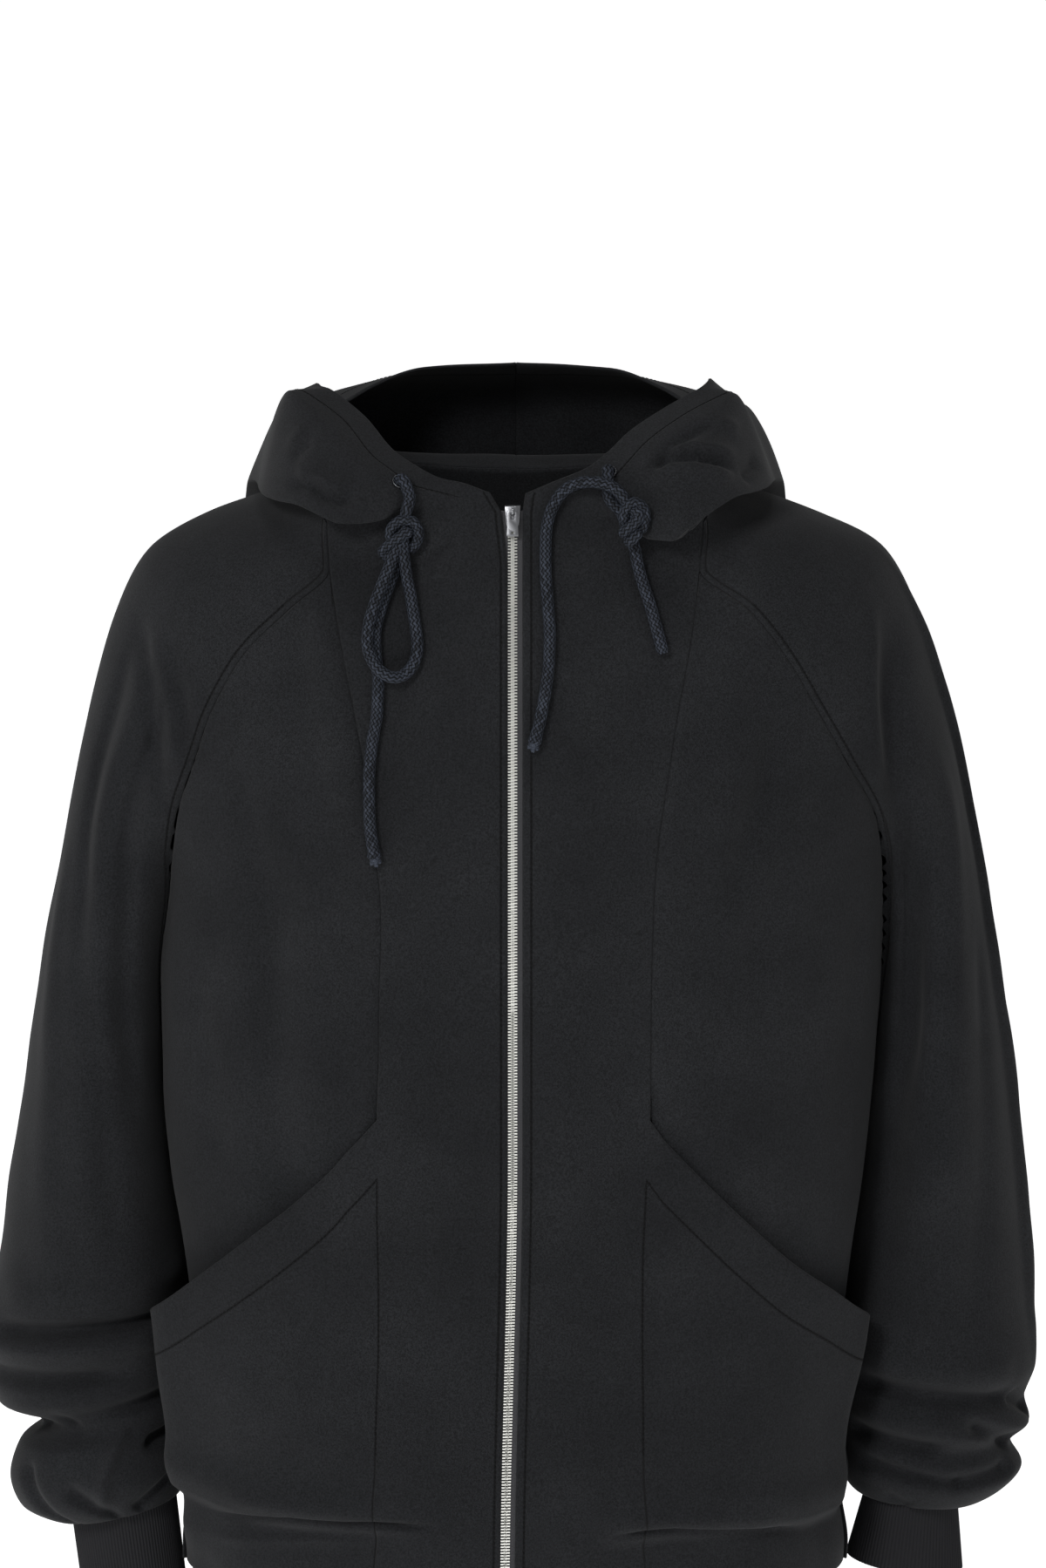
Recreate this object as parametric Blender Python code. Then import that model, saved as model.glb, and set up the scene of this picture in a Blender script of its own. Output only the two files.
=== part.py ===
"""Hooded sweatshirt with a closed zip, as worn on a standing figure. The cloth panels are thin closed
walls lofted through the garment's own sections. Metres; the front faces -Y and +Z is up. The origin is
on the centre plane at the level where the neck meets the shoulders. Sides are the wearer's."""

import math

import bmesh
import bpy
import numpy as np
from mathutils import Vector
from mathutils.bvhtree import BVHTree

# ------------------------------------------------------------------ driving sizes
CLOTH = 0.0020          # wall of the sweatshirt cloth
TAPE = 0.0010           # wall of the zip tape
SEAM_GAP = 0.0003       # clearance between sewn neighbours
SHAPE_POWER = 2.5       # roundness of the body's plan section
BODY_AXIS_Y = -0.015    # depth of the widest line of the body
CORD = 0.0075           # diameter of the hood cord
RIB_HIGH = 0.0007       # height of a knitted rib
RIB_WALL = 0.0019       # rib knit, from the top of a rib to the plain inside
CUFF_RIBS = 26
HEM_RIBS = 56
HEM_TOP = -0.7022        # the hem rib's seam and its lower edge
HEM_END = -0.7500
SIDES = (("right", -1), ("left", 1))

# Grid sizes: columns across the centre front, the side front and its pocket, round a sleeve, half a back.
ACROSS_FRONT = 11
ACROSS_SIDE = 7
ROUND_SLEEVE = 16
HALF_BACK = 7

for old in list(bpy.data.objects):
    bpy.data.objects.remove(old, do_unlink=True)
GARMENT = bpy.data.collections.new("zip_up_hoodie")
bpy.context.scene.collection.children.link(GARMENT)

# Body sections, top to hem: half widths at the two sides, depth of the front and of the back.
BODY = np.array([
    # z      right    left     front    back
    (0.020, 0.2380, 0.2380, -0.093, 0.084),
    (0.000, 0.2380, 0.2380, -0.098, 0.089),
    (-0.030, 0.2380, 0.2380, -0.105, 0.101),
    (-0.070, 0.2380, 0.2380, -0.117, 0.120),
    (-0.120, 0.2380, 0.2380, -0.127, 0.134),
    (-0.180, 0.2340, 0.2375, -0.134, 0.142),
    (-0.250, 0.2235, 0.2367, -0.138, 0.142),
    (-0.310, 0.2280, 0.2345, -0.139, 0.137),
    (-0.380, 0.2275, 0.2300, -0.139, 0.133),
    (-0.440, 0.2225, 0.2240, -0.139, 0.133),
    (-0.500, 0.2125, 0.2160, -0.140, 0.136),
    (-0.545, 0.2080, 0.2110, -0.142, 0.139),
    (-0.600, 0.2075, 0.2070, -0.144, 0.142),
    (-0.650, 0.2095, 0.2085, -0.145, 0.143),
    (-0.690, 0.2150, 0.2140, -0.143, 0.141),
    (-0.720, 0.2150, 0.2115, -0.140, 0.138),
    (-0.752, 0.2135, 0.2085, -0.137, 0.135),
])

# Rows of the seams, from the neck corner to the hem. Angles go round the body from the zip.
ROWS = np.array([
    # row    z   princess_r princess_l raglan_r raglan_l back_deg back_z
    (0, -0.0100, 24.6, 24.3, 24.6, 24.3, 164, 0.003),
    (1, -0.0220, 24.4, 24.1, 24.4, 24.1, 161, -0.015),
    (2, -0.0401, 24.1, 23.7, 24.1, 23.7, 157, -0.035),
    (3, -0.0650, 23.0, 22.9, 31.7, 32.9, 150, -0.062),
    (4, -0.0926, 21.7, 21.8, 41.0, 40.3, 143, -0.092),
    (5, -0.1300, 19.8, 20.0, 49.6, 48.9, 135, -0.130),
    (6, -0.1670, 18.4, 18.6, 56.8, 59.0, 127, -0.168),
    (7, -0.2090, 17.8, 17.1, 68.2, 74.0, 118, -0.210),
    (8, -0.2400, 17.3, 16.5, 77.5, 81.0, 110, -0.245),
    (9, -0.2850, 17.1, 16.3, 84.0, 86.0, 102, -0.290),
    (10, -0.3350, 17.2, 16.4, 88.5, 89.5, 96, -0.338),
    (11, -0.3840, 17.6, 16.6, 92, 92, 92, -0.384),
    (12, -0.4200, 17.9, 16.4, 92, 92, 92, -0.420),
    (13, -0.4600, 18.4, 16.4, 92, 92, 92, -0.460),
    (14, -0.5000, 19.0, 16.8, 92, 92, 92, -0.500),
    (15, -0.5400, 19.6, 17.3, 92, 92, 92, -0.540),
    (16, -0.5800, 20.1, 17.8, 92, 92, 92, -0.580),
    (17, -0.6100, 20.3, 18.0, 92, 92, 92, -0.610),
    (18, -0.6320, 20.4, 18.1, 92, 92, 92, -0.632),
    (19, -0.6460, 20.4, 18.2, 92, 92, 92, -0.646),
    (20, -0.6540, 20.4, 18.2, 92, 92, 92, -0.654),
    (21, -0.6720, 20.4, 18.2, 92, 92, 92, -0.672),
    (22, -0.7015, 20.4, 18.2, 92, 92, 92, -0.7015),
])
UNDERARM_ROW = 11
LEVEL_ROW = 17          # below this row the pocket and the side front share their heights
LAST_ROW = 22

# Soft folds of the body: a line from (angle, height) to (angle, height), its width and its height.
# A negative height is a trough. Angles below 90 are in front and above 90 behind.
BODY_FOLDS = np.array([
    # side  deg0    z0      deg1    z1     width    height
    (-1, 38.0, -0.215, 37.0, -0.455, 0.022, -0.0050),
    (-1, 26.5, -0.060, 22.5, -0.190, 0.010, 0.0035),
    (-1, 60.0, -0.300, 52.0, -0.420, 0.020, -0.0025),
    (1, 42.0, -0.225, 33.0, -0.290, 0.013, -0.0030),
    (1, 29.0, -0.100, 27.0, -0.330, 0.014, 0.0020),
    (1, 66.0, -0.260, 60.0, -0.400, 0.020, -0.0030),
    (-1, 120.0, -0.330, 128.0, -0.560, 0.022, -0.0050),
    (1, 118.0, -0.300, 131.0, -0.520, 0.022, -0.0050),
    (-1, 150.0, -0.360, 158.0, -0.600, 0.026, -0.0040),
    (1, 148.0, -0.400, 152.0, -0.620, 0.026, -0.0045),
    (-1, 168.0, -0.230, 172.0, -0.430, 0.026, 0.0030),
    (-1, 104.0, -0.560, 106.0, -0.670, 0.010, 0.0040),
    (1, 100.0, -0.560, 101.0, -0.670, 0.010, 0.0060),
    (1, 108.0, -0.570, 109.0, -0.670, 0.010, -0.0040),
])

# The body blouses over a cross fold above the hem: height of the fold and how far the cloth tucks in.
TUCK = np.array([
    # deg   z_right  z_left  depth_right depth_left
    (0, -0.648, -0.654, 0.0000, 0.0000),
    (7, -0.648, -0.654, 0.0000, 0.0000),
    (14, -0.648, -0.654, 0.0020, 0.0040),
    (24, -0.648, -0.652, 0.0070, 0.0075),
    (45, -0.649, -0.654, 0.0090, 0.0090),
    (70, -0.645, -0.658, 0.0090, 0.0085),
    (92, -0.640, -0.655, 0.0035, 0.0035),
    (130, -0.650, -0.650, 0.0080, 0.0080),
    (180, -0.652, -0.652, 0.0085, 0.0085),
])

# Pocket mouth: its height round the body, and how far the pocket stands out there.
MOUTH = np.array([
    # deg  z_right  z_left  gape_right gape_left
    (16.0, -0.3820, -0.3850, 0.0000, 0.0000),
    (21.0, -0.3980, -0.4050, 0.0005, 0.0005),
    (26.0, -0.4180, -0.4230, 0.0015, 0.0010),
    (35.0, -0.4430, -0.4510, 0.0035, 0.0025),
    (48.0, -0.4720, -0.4830, 0.0080, 0.0060),
    (62.0, -0.4980, -0.5060, 0.0150, 0.0100),
    (76.0, -0.5230, -0.5270, 0.0270, 0.0165),
    (83.0, -0.5300, -0.5330, 0.0170, 0.0110),
    (89.0, -0.5350, -0.5370, 0.0000, 0.0000),
])
UNDER_POCKET = 0.0036   # the side front lies this far behind the body line under the pocket
UNDERARM_CLEAR = 0.0007  # clearance of the sleeve from the body where they fold together
MOUTH_FADE = {"right": 0.150, "left": 0.080}  # height over which the pocket closes below its mouth
POCKET_SHUT = 0.035     # height above the hem over which it lies flat again

# Sleeve sections: the outer point, how round the ring has become, its half depth, and below the
# underarm the inner point. Rows 0 to 11 start and end on the raglan seams.
SLEEVE = {
    "right": np.array([
        # row  out_x   out_y   out_z   round  half   in_x    in_y    in_z
        (0, 0.1120, 0.000, 0.010, 0.00, 0.000, 0, 0, 0),
        (1, 0.1340, 0.000, 0.003, 0.00, 0.000, 0, 0, 0),
        (2, 0.1600, 0.000, -0.006, 0.00, 0.000, 0, 0, 0),
        (3, 0.1970, 0.000, -0.018, 0.00, -0.004, 0, 0, 0),
        (4, 0.2320, 0.000, -0.038, 0.00, -0.008, 0, 0, 0),
        (5, 0.2560, 0.000, -0.082, 0.08, -0.008, 0, 0, 0),
        (6, 0.2700, 0.000, -0.130, 0.20, -0.001, 0, 0, 0),
        (7, 0.2830, 0.000, -0.190, 0.36, 0.012, 0, 0, 0),
        (8, 0.2910, 0.000, -0.235, 0.52, 0.026, 0, 0, 0),
        (9, 0.3030, 0.003, -0.290, 0.70, 0.045, 0, 0, 0),
        (10, 0.3110, 0.006, -0.340, 0.87, 0.060, 0, 0, 0),
        (11, 0.3160, 0.010, -0.375, 1.00, 0.073, 0, 0, 0),
        (12, 0.3220, 0.012, -0.415, 1.00, 0.075, 0.2262, 0.000, -0.420),
        (13, 0.3290, 0.012, -0.455, 1.00, 0.072, 0.2212, 0.004, -0.460),
        (14, 0.3350, 0.012, -0.498, 1.00, 0.068, 0.2146, 0.008, -0.500),
        (15, 0.3420, 0.012, -0.535, 1.00, 0.066, 0.2118, 0.010, -0.530),
        (16, 0.3450, 0.012, -0.556, 1.00, 0.067, 0.2112, 0.010, -0.548),
        (17, 0.3445, 0.012, -0.580, 1.00, 0.064, 0.2115, 0.010, -0.568),
        (18, 0.3380, 0.012, -0.602, 1.00, 0.062, 0.2130, 0.010, -0.590),
        (19, 0.3095, 0.012, -0.616, 1.00, 0.053, 0.2150, 0.010, -0.606),
        (20, 0.3250, 0.012, -0.630, 1.00, 0.058, 0.2140, 0.010, -0.620),
        (21, 0.3315, 0.012, -0.652, 1.00, 0.059, 0.2140, 0.010, -0.640),
        (22, 0.3240, 0.012, -0.672, 1.00, 0.052, 0.2165, 0.010, -0.656),
        (23, 0.3000, 0.012, -0.682, 1.00, 0.041, 0.2195, 0.010, -0.664),
        (24, 0.2925, 0.012, -0.676, 1.00, 0.035, 0.2217, 0.010, -0.664),
    ]),
    "left": np.array([
        # row  out_x   out_y   out_z   round  half   in_x    in_y    in_z
        (0, 0.1120, 0.000, 0.010, 0.00, 0.000, 0, 0, 0),
        (1, 0.1340, 0.000, 0.003, 0.00, 0.000, 0, 0, 0),
        (2, 0.1600, 0.000, -0.006, 0.00, 0.000, 0, 0, 0),
        (3, 0.1970, 0.000, -0.019, 0.00, -0.004, 0, 0, 0),
        (4, 0.2330, 0.000, -0.038, 0.00, -0.008, 0, 0, 0),
        (5, 0.2570, 0.000, -0.082, 0.08, -0.008, 0, 0, 0),
        (6, 0.2710, 0.000, -0.130, 0.20, -0.002, 0, 0, 0),
        (7, 0.2850, 0.000, -0.190, 0.36, 0.010, 0, 0, 0),
        (8, 0.2940, 0.002, -0.235, 0.52, 0.022, 0, 0, 0),
        (9, 0.3040, 0.006, -0.290, 0.70, 0.038, 0, 0, 0),
        (10, 0.3120, 0.010, -0.340, 0.87, 0.054, 0, 0, 0),
        (11, 0.3180, 0.014, -0.375, 1.00, 0.068, 0, 0, 0),
        (12, 0.3220, 0.016, -0.415, 1.00, 0.070, 0.2285, 0.004, -0.420),
        (13, 0.3270, 0.016, -0.455, 1.00, 0.069, 0.2236, 0.008, -0.460),
        (14, 0.3310, 0.016, -0.498, 1.00, 0.066, 0.2180, 0.012, -0.500),
        (15, 0.3340, 0.016, -0.535, 1.00, 0.064, 0.2145, 0.014, -0.534),
        (16, 0.3370, 0.016, -0.556, 1.00, 0.063, 0.2130, 0.014, -0.553),
        (17, 0.3385, 0.016, -0.577, 1.00, 0.062, 0.2122, 0.014, -0.574),
        (18, 0.3330, 0.016, -0.600, 1.00, 0.058, 0.2128, 0.014, -0.596),
        (19, 0.3365, 0.016, -0.616, 1.00, 0.060, 0.2130, 0.014, -0.612),
        (20, 0.3240, 0.016, -0.630, 1.00, 0.052, 0.2130, 0.014, -0.626),
        (21, 0.3315, 0.016, -0.646, 1.00, 0.054, 0.2120, 0.014, -0.641),
        (22, 0.3185, 0.016, -0.662, 1.00, 0.047, 0.2150, 0.014, -0.655),
        (23, 0.2990, 0.016, -0.671, 1.00, 0.038, 0.2230, 0.014, -0.663),
        (24, 0.2900, 0.016, -0.666, 1.00, 0.033, 0.2283, 0.014, -0.660),
    ]),
}
CUFF_ROW = 24

# Cuff: how the ring changes from its seam to its rim.
CUFF_RIM = {
    # inner x, outer x, centre y, inner z, outer z, half depth
    "right": (0.2165, 0.2850, 0.010, -0.722, -0.728, 0.034),
    "left": (0.2165, 0.2930, 0.012, -0.706, -0.716, 0.036),
}

# Folds of the sleeves: from (turn, row) to (turn, row), width in metres, height. The turn goes round
# the ring from the front seam (0) over the outer line (0.5) to the back seam (1).
SLEEVE_FOLDS = {
    "right": np.array([
        # turn0 row0  turn1  row1   width   height
        (0.11, 5.5, 0.16, 11.5, 0.014, -0.0045),
        (0.21, 4.5, 0.24, 12.5, 0.014, 0.0030),
        (0.29, 5.5, 0.21, 13.5, 0.014, -0.0040),
        (0.02, 15.0, 0.42, 15.6, 0.012, -0.0060),
        (0.22, 19.0, 0.24, 22.0, 0.012, 0.0040),
        (0.62, 14.5, 0.88, 15.5, 0.014, -0.0050),
        (0.72, 6.0, 0.78, 13.0, 0.016, -0.0050),
    ]),
    "left": np.array([
        # turn0 row0  turn1  row1   width   height
        (0.43, 4.6, 0.45, 16.6, 0.012, 0.0060),
        (0.50, 5.0, 0.52, 16.0, 0.012, -0.0040),
        (0.13, 7.5, 0.14, 14.0, 0.017, -0.0050),
        (0.08, 17.4, 0.40, 17.7, 0.012, -0.0050),
        (0.62, 15.5, 0.90, 16.4, 0.014, -0.0050),
        (0.74, 6.0, 0.80, 13.0, 0.016, -0.0050),
    ]),
}

# Hood, lying down: each section runs from the face opening's rim over a crown to the bottom fold
# and back under it to the neck seam. Stations count along the neck seam from its front corner.
HOOD = {
    "right": np.array([
        # st  rim x,y,z              crown x,y,z            fold x,y,z             under x,y,z
        (0, .0164, -.0955, .0086, .0440, -.0975, .0040, .0720, -.1000, -.0020, .0970, -.0985, -.0070),
        (1, .0340, -.0920, .0145, .0580, -.0980, .0075, .0790, -.1035, -.0035, .1030, -.1005, -.0045),
        (2, .0477, -.0880, .0172, .0690, -.0985, .0110, .0850, -.1100, -.0070, .1110, -.1030, -.0010),
        (3, .0625, -.0785, .0235, .0830, -.0955, .0190, .0970, -.1150, -.0085, .1215, -.0980, .0060),
        (4, .0755, -.0680, .0310, .0960, -.0890, .0270, .1080, -.1190, -.0080, .1310, -.0800, .0110),
        (6, .0953, -.0420, .0500, .1190, -.0620, .0490, .1400, -.0940, .0015, .1300, -.0440, .0125),
        (8, .1180, -.0200, .0645, .1420, -.0260, .0640, .1610, -.0420, .0010, .1260, -.0040, .0185),
        (10, .1260, .0060, .0650, .1480, .0060, .0530, .1655, .0120, .0010, .1180, .0300, .0190),
        (11.5, .1200, .0260, .0560, .1475, .0380, .0470, .1725, .0560, -.0040, .1145, .0520, .0185),
        (13, .1130, .0450, .0480, .1450, .0760, .0400, .1770, .1080, -.0400, .1100, .0740, .0165),
        (16, .0930, .0760, .0550, .1220, .1220, .0440, .1500, .1500, -.1120, .0980, .0940, .0110),
        (19, .0600, .1010, .0640, .0850, .1530, .0380, .0980, .1770, -.1680, .0600, .1040, .0060),
        (23, .0000, .1150, .0660, .0000, .1720, .0300, .0000, .1880, -.2000, .0000, .1120, .0040),
    ]),
    "left": np.array([
        # st  rim x,y,z              crown x,y,z            fold x,y,z             under x,y,z
        (0, .0060, -.0960, .0080, .0400, -.0980, .0040, .0700, -.1005, -.0020, .0970, -.0985, -.0070),
        (1, .0263, -.0930, .0166, .0540, -.0985, .0090, .0770, -.1040, -.0060, .1030, -.1005, -.0045),
        (2, .0456, -.0850, .0244, .0670, -.0985, .0150, .0830, -.1130, -.0180, .1110, -.1050, -.0010),
        (3, .0580, -.0740, .0330, .0785, -.0950, .0240, .0950, -.1210, -.0180, .1215, -.1000, .0060),
        (4, .0705, -.0620, .0434, .0900, -.0880, .0330, .1050, -.1240, -.0110, .1310, -.0800, .0110),
        (6, .0940, -.0400, .0560, .1180, -.0620, .0520, .1420, -.0900, .0060, .1300, -.0440, .0125),
        (8, .1160, -.0200, .0660, .1380, -.0240, .0620, .1620, -.0400, .0060, .1260, -.0040, .0185),
        (10, .1240, .0060, .0690, .1440, .0060, .0500, .1660, .0120, .0020, .1180, .0300, .0190),
        (11.5, .1200, .0260, .0560, .1475, .0380, .0470, .1725, .0560, -.0040, .1145, .0520, .0185),
        (13, .1130, .0450, .0480, .1450, .0760, .0400, .1770, .1080, -.0400, .1100, .0740, .0165),
        (16, .0930, .0760, .0550, .1220, .1220, .0440, .1500, .1500, -.1120, .0980, .0940, .0110),
        (19, .0600, .1010, .0640, .0850, .1530, .0380, .0980, .1770, -.1680, .0600, .1040, .0060),
        (23, .0000, .1150, .0660, .0000, .1720, .0300, .0000, .1880, -.2000, .0000, .1120, .0040),
    ]),
}
HOOD_STOPS = (0.0, 0.26, 0.57, 0.66, 0.87, 1.0)
HOOD_FOLD = 0.014       # how far the hood's bottom fold is rounded

# Zip: the front edges beside it, its own line, and how both drift to the wearer's right low down.
ZIP_CENTRE = -0.0020
EDGE = {"right": -0.0056, "left": 0.0043}
ZIP_DRIFT = -0.0050
CHAIN_WIDE = 0.0058
CHAIN_THICK = 0.0024
TAPE_WIDE = 0.0110


# ------------------------------------------------------------------ reading the tables
def smooth(keys, values, at):
    """Reads a table as a smooth curve that never overshoots its own rows."""
    keys = np.asarray(keys, float)
    values = np.asarray(values, float)
    step = np.diff(keys)
    rise = np.diff(values) / step
    slope = np.zeros(len(keys))
    slope[0] = rise[0]
    slope[-1] = rise[-1]
    for i in range(1, len(keys) - 1):
        if rise[i - 1] * rise[i] > 0:
            w1 = 2 * step[i] + step[i - 1]
            w2 = step[i] + 2 * step[i - 1]
            slope[i] = (w1 + w2) / (w1 / rise[i - 1] + w2 / rise[i])
    at = np.clip(np.asarray(at, float), keys[0], keys[-1])
    k = np.clip(np.searchsorted(keys, at, side="right") - 1, 0, len(keys) - 2)
    t = (at - keys[k]) / step[k]
    low = (2 * t**3 - 3 * t**2 + 1) * values[k] + (t**3 - 2 * t**2 + t) * step[k] * slope[k]
    high = (3 * t**2 - 2 * t**3) * values[k + 1] + (t**3 - t**2) * step[k] * slope[k + 1]
    return low + high


def ease(t):
    """0 to 1 with a soft start and end."""
    t = np.clip(t, 0.0, 1.0)
    return t * t * (3 - 2 * t)


def fold_height(u, v, u0, v0, u1, v1, width, height):
    """Height at (u, v) of a soft fold along the line from (u0, v0) to (u1, v1), all in metres."""
    du, dv = u1 - u0, v1 - v0
    long = math.hypot(du, dv)
    along = ((u - u0) * du + (v - v0) * dv) / long**2
    off = ((u - u0) * dv - (v - v0) * du) / long
    ends = ease(along / 0.22 + 0.35) * ease((1 - along) / 0.22 + 0.35)
    return height * ends * np.exp(-((off / width) ** 2))


# ------------------------------------------------------------------ the body's surface
def body_point(side, degrees, z, out=0.0):
    """Point of the body's outer surface at an angle from the zip, moved outward by `out`."""
    degrees, z, out = np.broadcast_arrays(np.asarray(degrees, float), np.asarray(z, float),
                                          np.asarray(out, float))
    down = -BODY[:, 0]
    half = smooth(down, BODY[:, 1 if side < 0 else 2], -z)
    front = smooth(down, BODY[:, 3], -z)
    back = smooth(down, BODY[:, 4], -z)
    turn = np.radians(degrees)
    depth = np.where(degrees < 90, front, back) - BODY_AXIS_Y
    ring = 2 / SHAPE_POWER
    x = half * np.abs(np.sin(turn)) ** ring
    y = BODY_AXIS_Y + depth * np.abs(np.cos(turn)) ** ring
    column = 1 if side < 0 else 2
    fold_z = smooth(TUCK[:, 0], TUCK[:, column], degrees)
    tuck = smooth(TUCK[:, 0], TUCK[:, column + 2], degrees)
    out = out - tuck * ease((fold_z + 0.004 - z) / 0.012)
    out = out + 0.5 * tuck * np.exp(-(((z - fold_z - 0.016) / 0.013) ** 2))
    for fold in BODY_FOLDS:
        if fold[0] == side:
            out = out + fold_height(0.26 * turn, z, 0.26 * math.radians(fold[1]), fold[2],
                                    0.26 * math.radians(fold[3]), fold[4], fold[5], fold[6])
    return np.stack([side * (x + out * np.sin(turn)), y - out * np.cos(turn), z + 0 * x], axis=-1)


def angle_at(side, x, z):
    """Angle from the zip of a point of the front at a distance x from the centre plane."""
    half = smooth(-BODY[:, 0], BODY[:, 1 if side < 0 else 2], -np.asarray(z, float))
    across = np.clip(side * np.asarray(x, float) / half, 0, 1)
    return np.degrees(np.arcsin(across ** (SHAPE_POWER / 2)))


def front_y(x, z):
    """Depth of the body's front surface at (x, z)."""
    side = -1 if x < 0 else 1
    return float(body_point(side, angle_at(side, x, z), z)[1])


def zip_shift(z):
    """Sideways drift of the zip toward the hem."""
    return ZIP_DRIFT * ease((-0.40 - np.asarray(z, float)) / 0.30)


def front_edge(name, z):
    """x of the free edge of a front panel beside the zip."""
    z = np.asarray(z, float)
    widen = -0.0034 * ease((z + 0.040) / 0.040) if name == "right" else 0.0
    return EDGE[name] + zip_shift(z) + widen


# ------------------------------------------------------------------ surfaces of the panels
def row_value(column, row):
    return smooth(ROWS[:, 0], ROWS[:, column], row)


def chest_grid(name, side, rows, columns):
    """Centre front: from the zip edge to the princess seam, rows from the neck to the hem."""
    grid = np.zeros((len(rows), columns + 1, 3))
    across = np.linspace(0, 1, columns + 1)
    for i, row in enumerate(rows):
        z_seam = float(row_value(1, row))
        z_zip = z_seam + 0.008 * (1 - min(row, 2.0) / 2)
        z = z_zip + (z_seam - z_zip) * across
        x_edge = front_edge(name, z_zip)
        seam = float(row_value(2 if side < 0 else 3, row))
        x_seam = body_point(side, seam, z_seam)[0]
        x = x_edge + (x_seam - x_edge) * across
        angle = angle_at(side, x, z)
        angle[-1] = seam
        points = body_point(side, angle, z)
        points[:, 0] += np.where(across < 1e-9, x_edge - points[0, 0], 0.0)
        grid[i] = points
    return grid


def hood_section(name, side, station, neck, across):
    """One section of the hood, from the rim to the point `neck` of the neck seam."""
    table = HOOD[name]
    spots = [[float(smooth(table[:, 0], table[:, 1 + 3 * k + axis], station)) for axis in range(3)]
             for k in range(4)]
    spots = np.array(spots) * (side, 1, 1)
    # The bottom fold is rounded: a second point lies beside it, nearer the neck.
    toward = (neck - spots[2]) * (1, 1, 0)
    turned = spots[2] + toward / np.linalg.norm(toward) * HOOD_FOLD
    turned = turned + (0, 0, -0.0010)
    flat = spots[2] + (spots[3] - spots[2]) * 0.3
    turned = flat + (turned - flat) * float(ease((station - 0.5) / 3.0))
    spots = np.vstack([spots[:3], turned, spots[3], neck])
    return np.stack([smooth(HOOD_STOPS, spots[:, axis], across) for axis in range(3)], axis=-1)


def neck_line(name, side, stations):
    """The neck seam: over the shoulder on the sleeve's top edge, then along the back's."""
    stations = np.asarray(stations, float)
    shoulder = sleeve_ring(name, side, 0.0, np.clip(stations / ROUND_SLEEVE, 0, 1))
    across = np.clip((stations - ROUND_SLEEVE) / HALF_BACK, 0, 1)
    return np.where((stations <= ROUND_SLEEVE)[:, None], shoulder, back_row(side, 0.0, across))


def hood_grid(name, side, stations, columns):
    """Hood half: rows along the neck seam, columns from the rim to the seam."""
    across = np.linspace(0, 1, columns + 1)
    necks = neck_line(name, side, stations)
    return np.array([hood_section(name, side, s, n, across) for s, n in zip(stations, necks)])


def back_row(side, row, across):
    """Half a row of the back, from the raglan or side seam (0) to the centre (1)."""
    edge = float(row_value(6, row))
    z_edge = float(row_value(7, row))
    z_centre = z_edge - 0.005 * (1 - min(row, 1.0))
    across = np.asarray(across, float)
    angle = edge + (180.0 - edge) * across
    points = body_point(side, angle, z_edge + (z_centre - z_edge) * ease(across))
    points[..., 0] = np.where(across > 1 - 1e-9, 0.0, points[..., 0])
    return points


def back_grid(rows, columns):
    """The whole back, from the wearer's right to the left."""
    across = np.linspace(0, 1, columns + 1)
    right = np.array([back_row(-1, r, across) for r in rows])
    left = np.array([back_row(1, r, across) for r in rows])
    left[:, -1] = right[:, -1] = (left[:, -1] + right[:, -1]) / 2
    return np.concatenate([right, left[:, -2::-1]], axis=1)


def side_grid(side, rows, columns):
    """Side front: from the princess seam to the raglan and side seams; it dips under the pocket."""
    across = np.linspace(0, 1, columns + 1)
    grid = np.zeros((len(rows), columns + 1, 3))
    for i, row in enumerate(rows):
        z = float(row_value(1, row))
        start = float(row_value(2 if side < 0 else 3, row))
        end = float(row_value(4 if side < 0 else 5, row))
        angle = start + (end - start) * across
        # Under the pocket its edge stands a little back from the princess line.
        angle[0] += 0.4 if row >= UNDERARM_ROW else 0.0
        mouth = smooth(MOUTH[:, 0], MOUTH[:, 1 if side < 0 else 2], angle)
        dip = UNDER_POCKET * ease((mouth + 0.036 - z) / 0.030) * (1 - ease((angle - 74) / 12))
        if row <= UNDERARM_ROW - 1:
            dip = dip * 0.0
        grid[i] = body_point(side, angle, z, -dip)
    return grid


def pocket_grid(name, side, rows, columns):
    """Pocket front: below its mouth, from the princess line to just short of the side seam."""
    mouth_column = 1 if side < 0 else 2
    across = np.linspace(0, 1, columns + 1)
    level = ROWS[LEVEL_ROW, 1]
    grid = np.zeros((len(rows), columns + 1, 3))
    for i, row in enumerate(rows):
        start = float(row_value(2 if side < 0 else 3, row))
        angle = start + (92.0 - start) * across
        angle[-1] = 89.0
        mouth = smooth(MOUTH[:, 0], MOUTH[:, mouth_column], angle)
        gape = smooth(MOUTH[:, 0], MOUTH[:, mouth_column + 2], angle)
        mouth = np.where(across < 1e-9, ROWS[UNDERARM_ROW, 1], mouth)
        row_z = float(row_value(1, row))
        down = (row_z - ROWS[UNDERARM_ROW, 1]) / (level - ROWS[UNDERARM_ROW, 1])
        z = np.where(row_z < level, row_z, mouth + (level - mouth) * down)
        out = 0.0004 * ease(across / 0.1) + 0.0033 * ease((angle - 68) / 12)
        shut = ease((z - ROWS[LAST_ROW, 1]) / POCKET_SHUT)
        out = out + gape * shut * np.exp(-(((mouth - z) / MOUTH_FADE[name]) ** 2))
        grid[i] = body_point(side, angle, z, out)
    return grid


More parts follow.
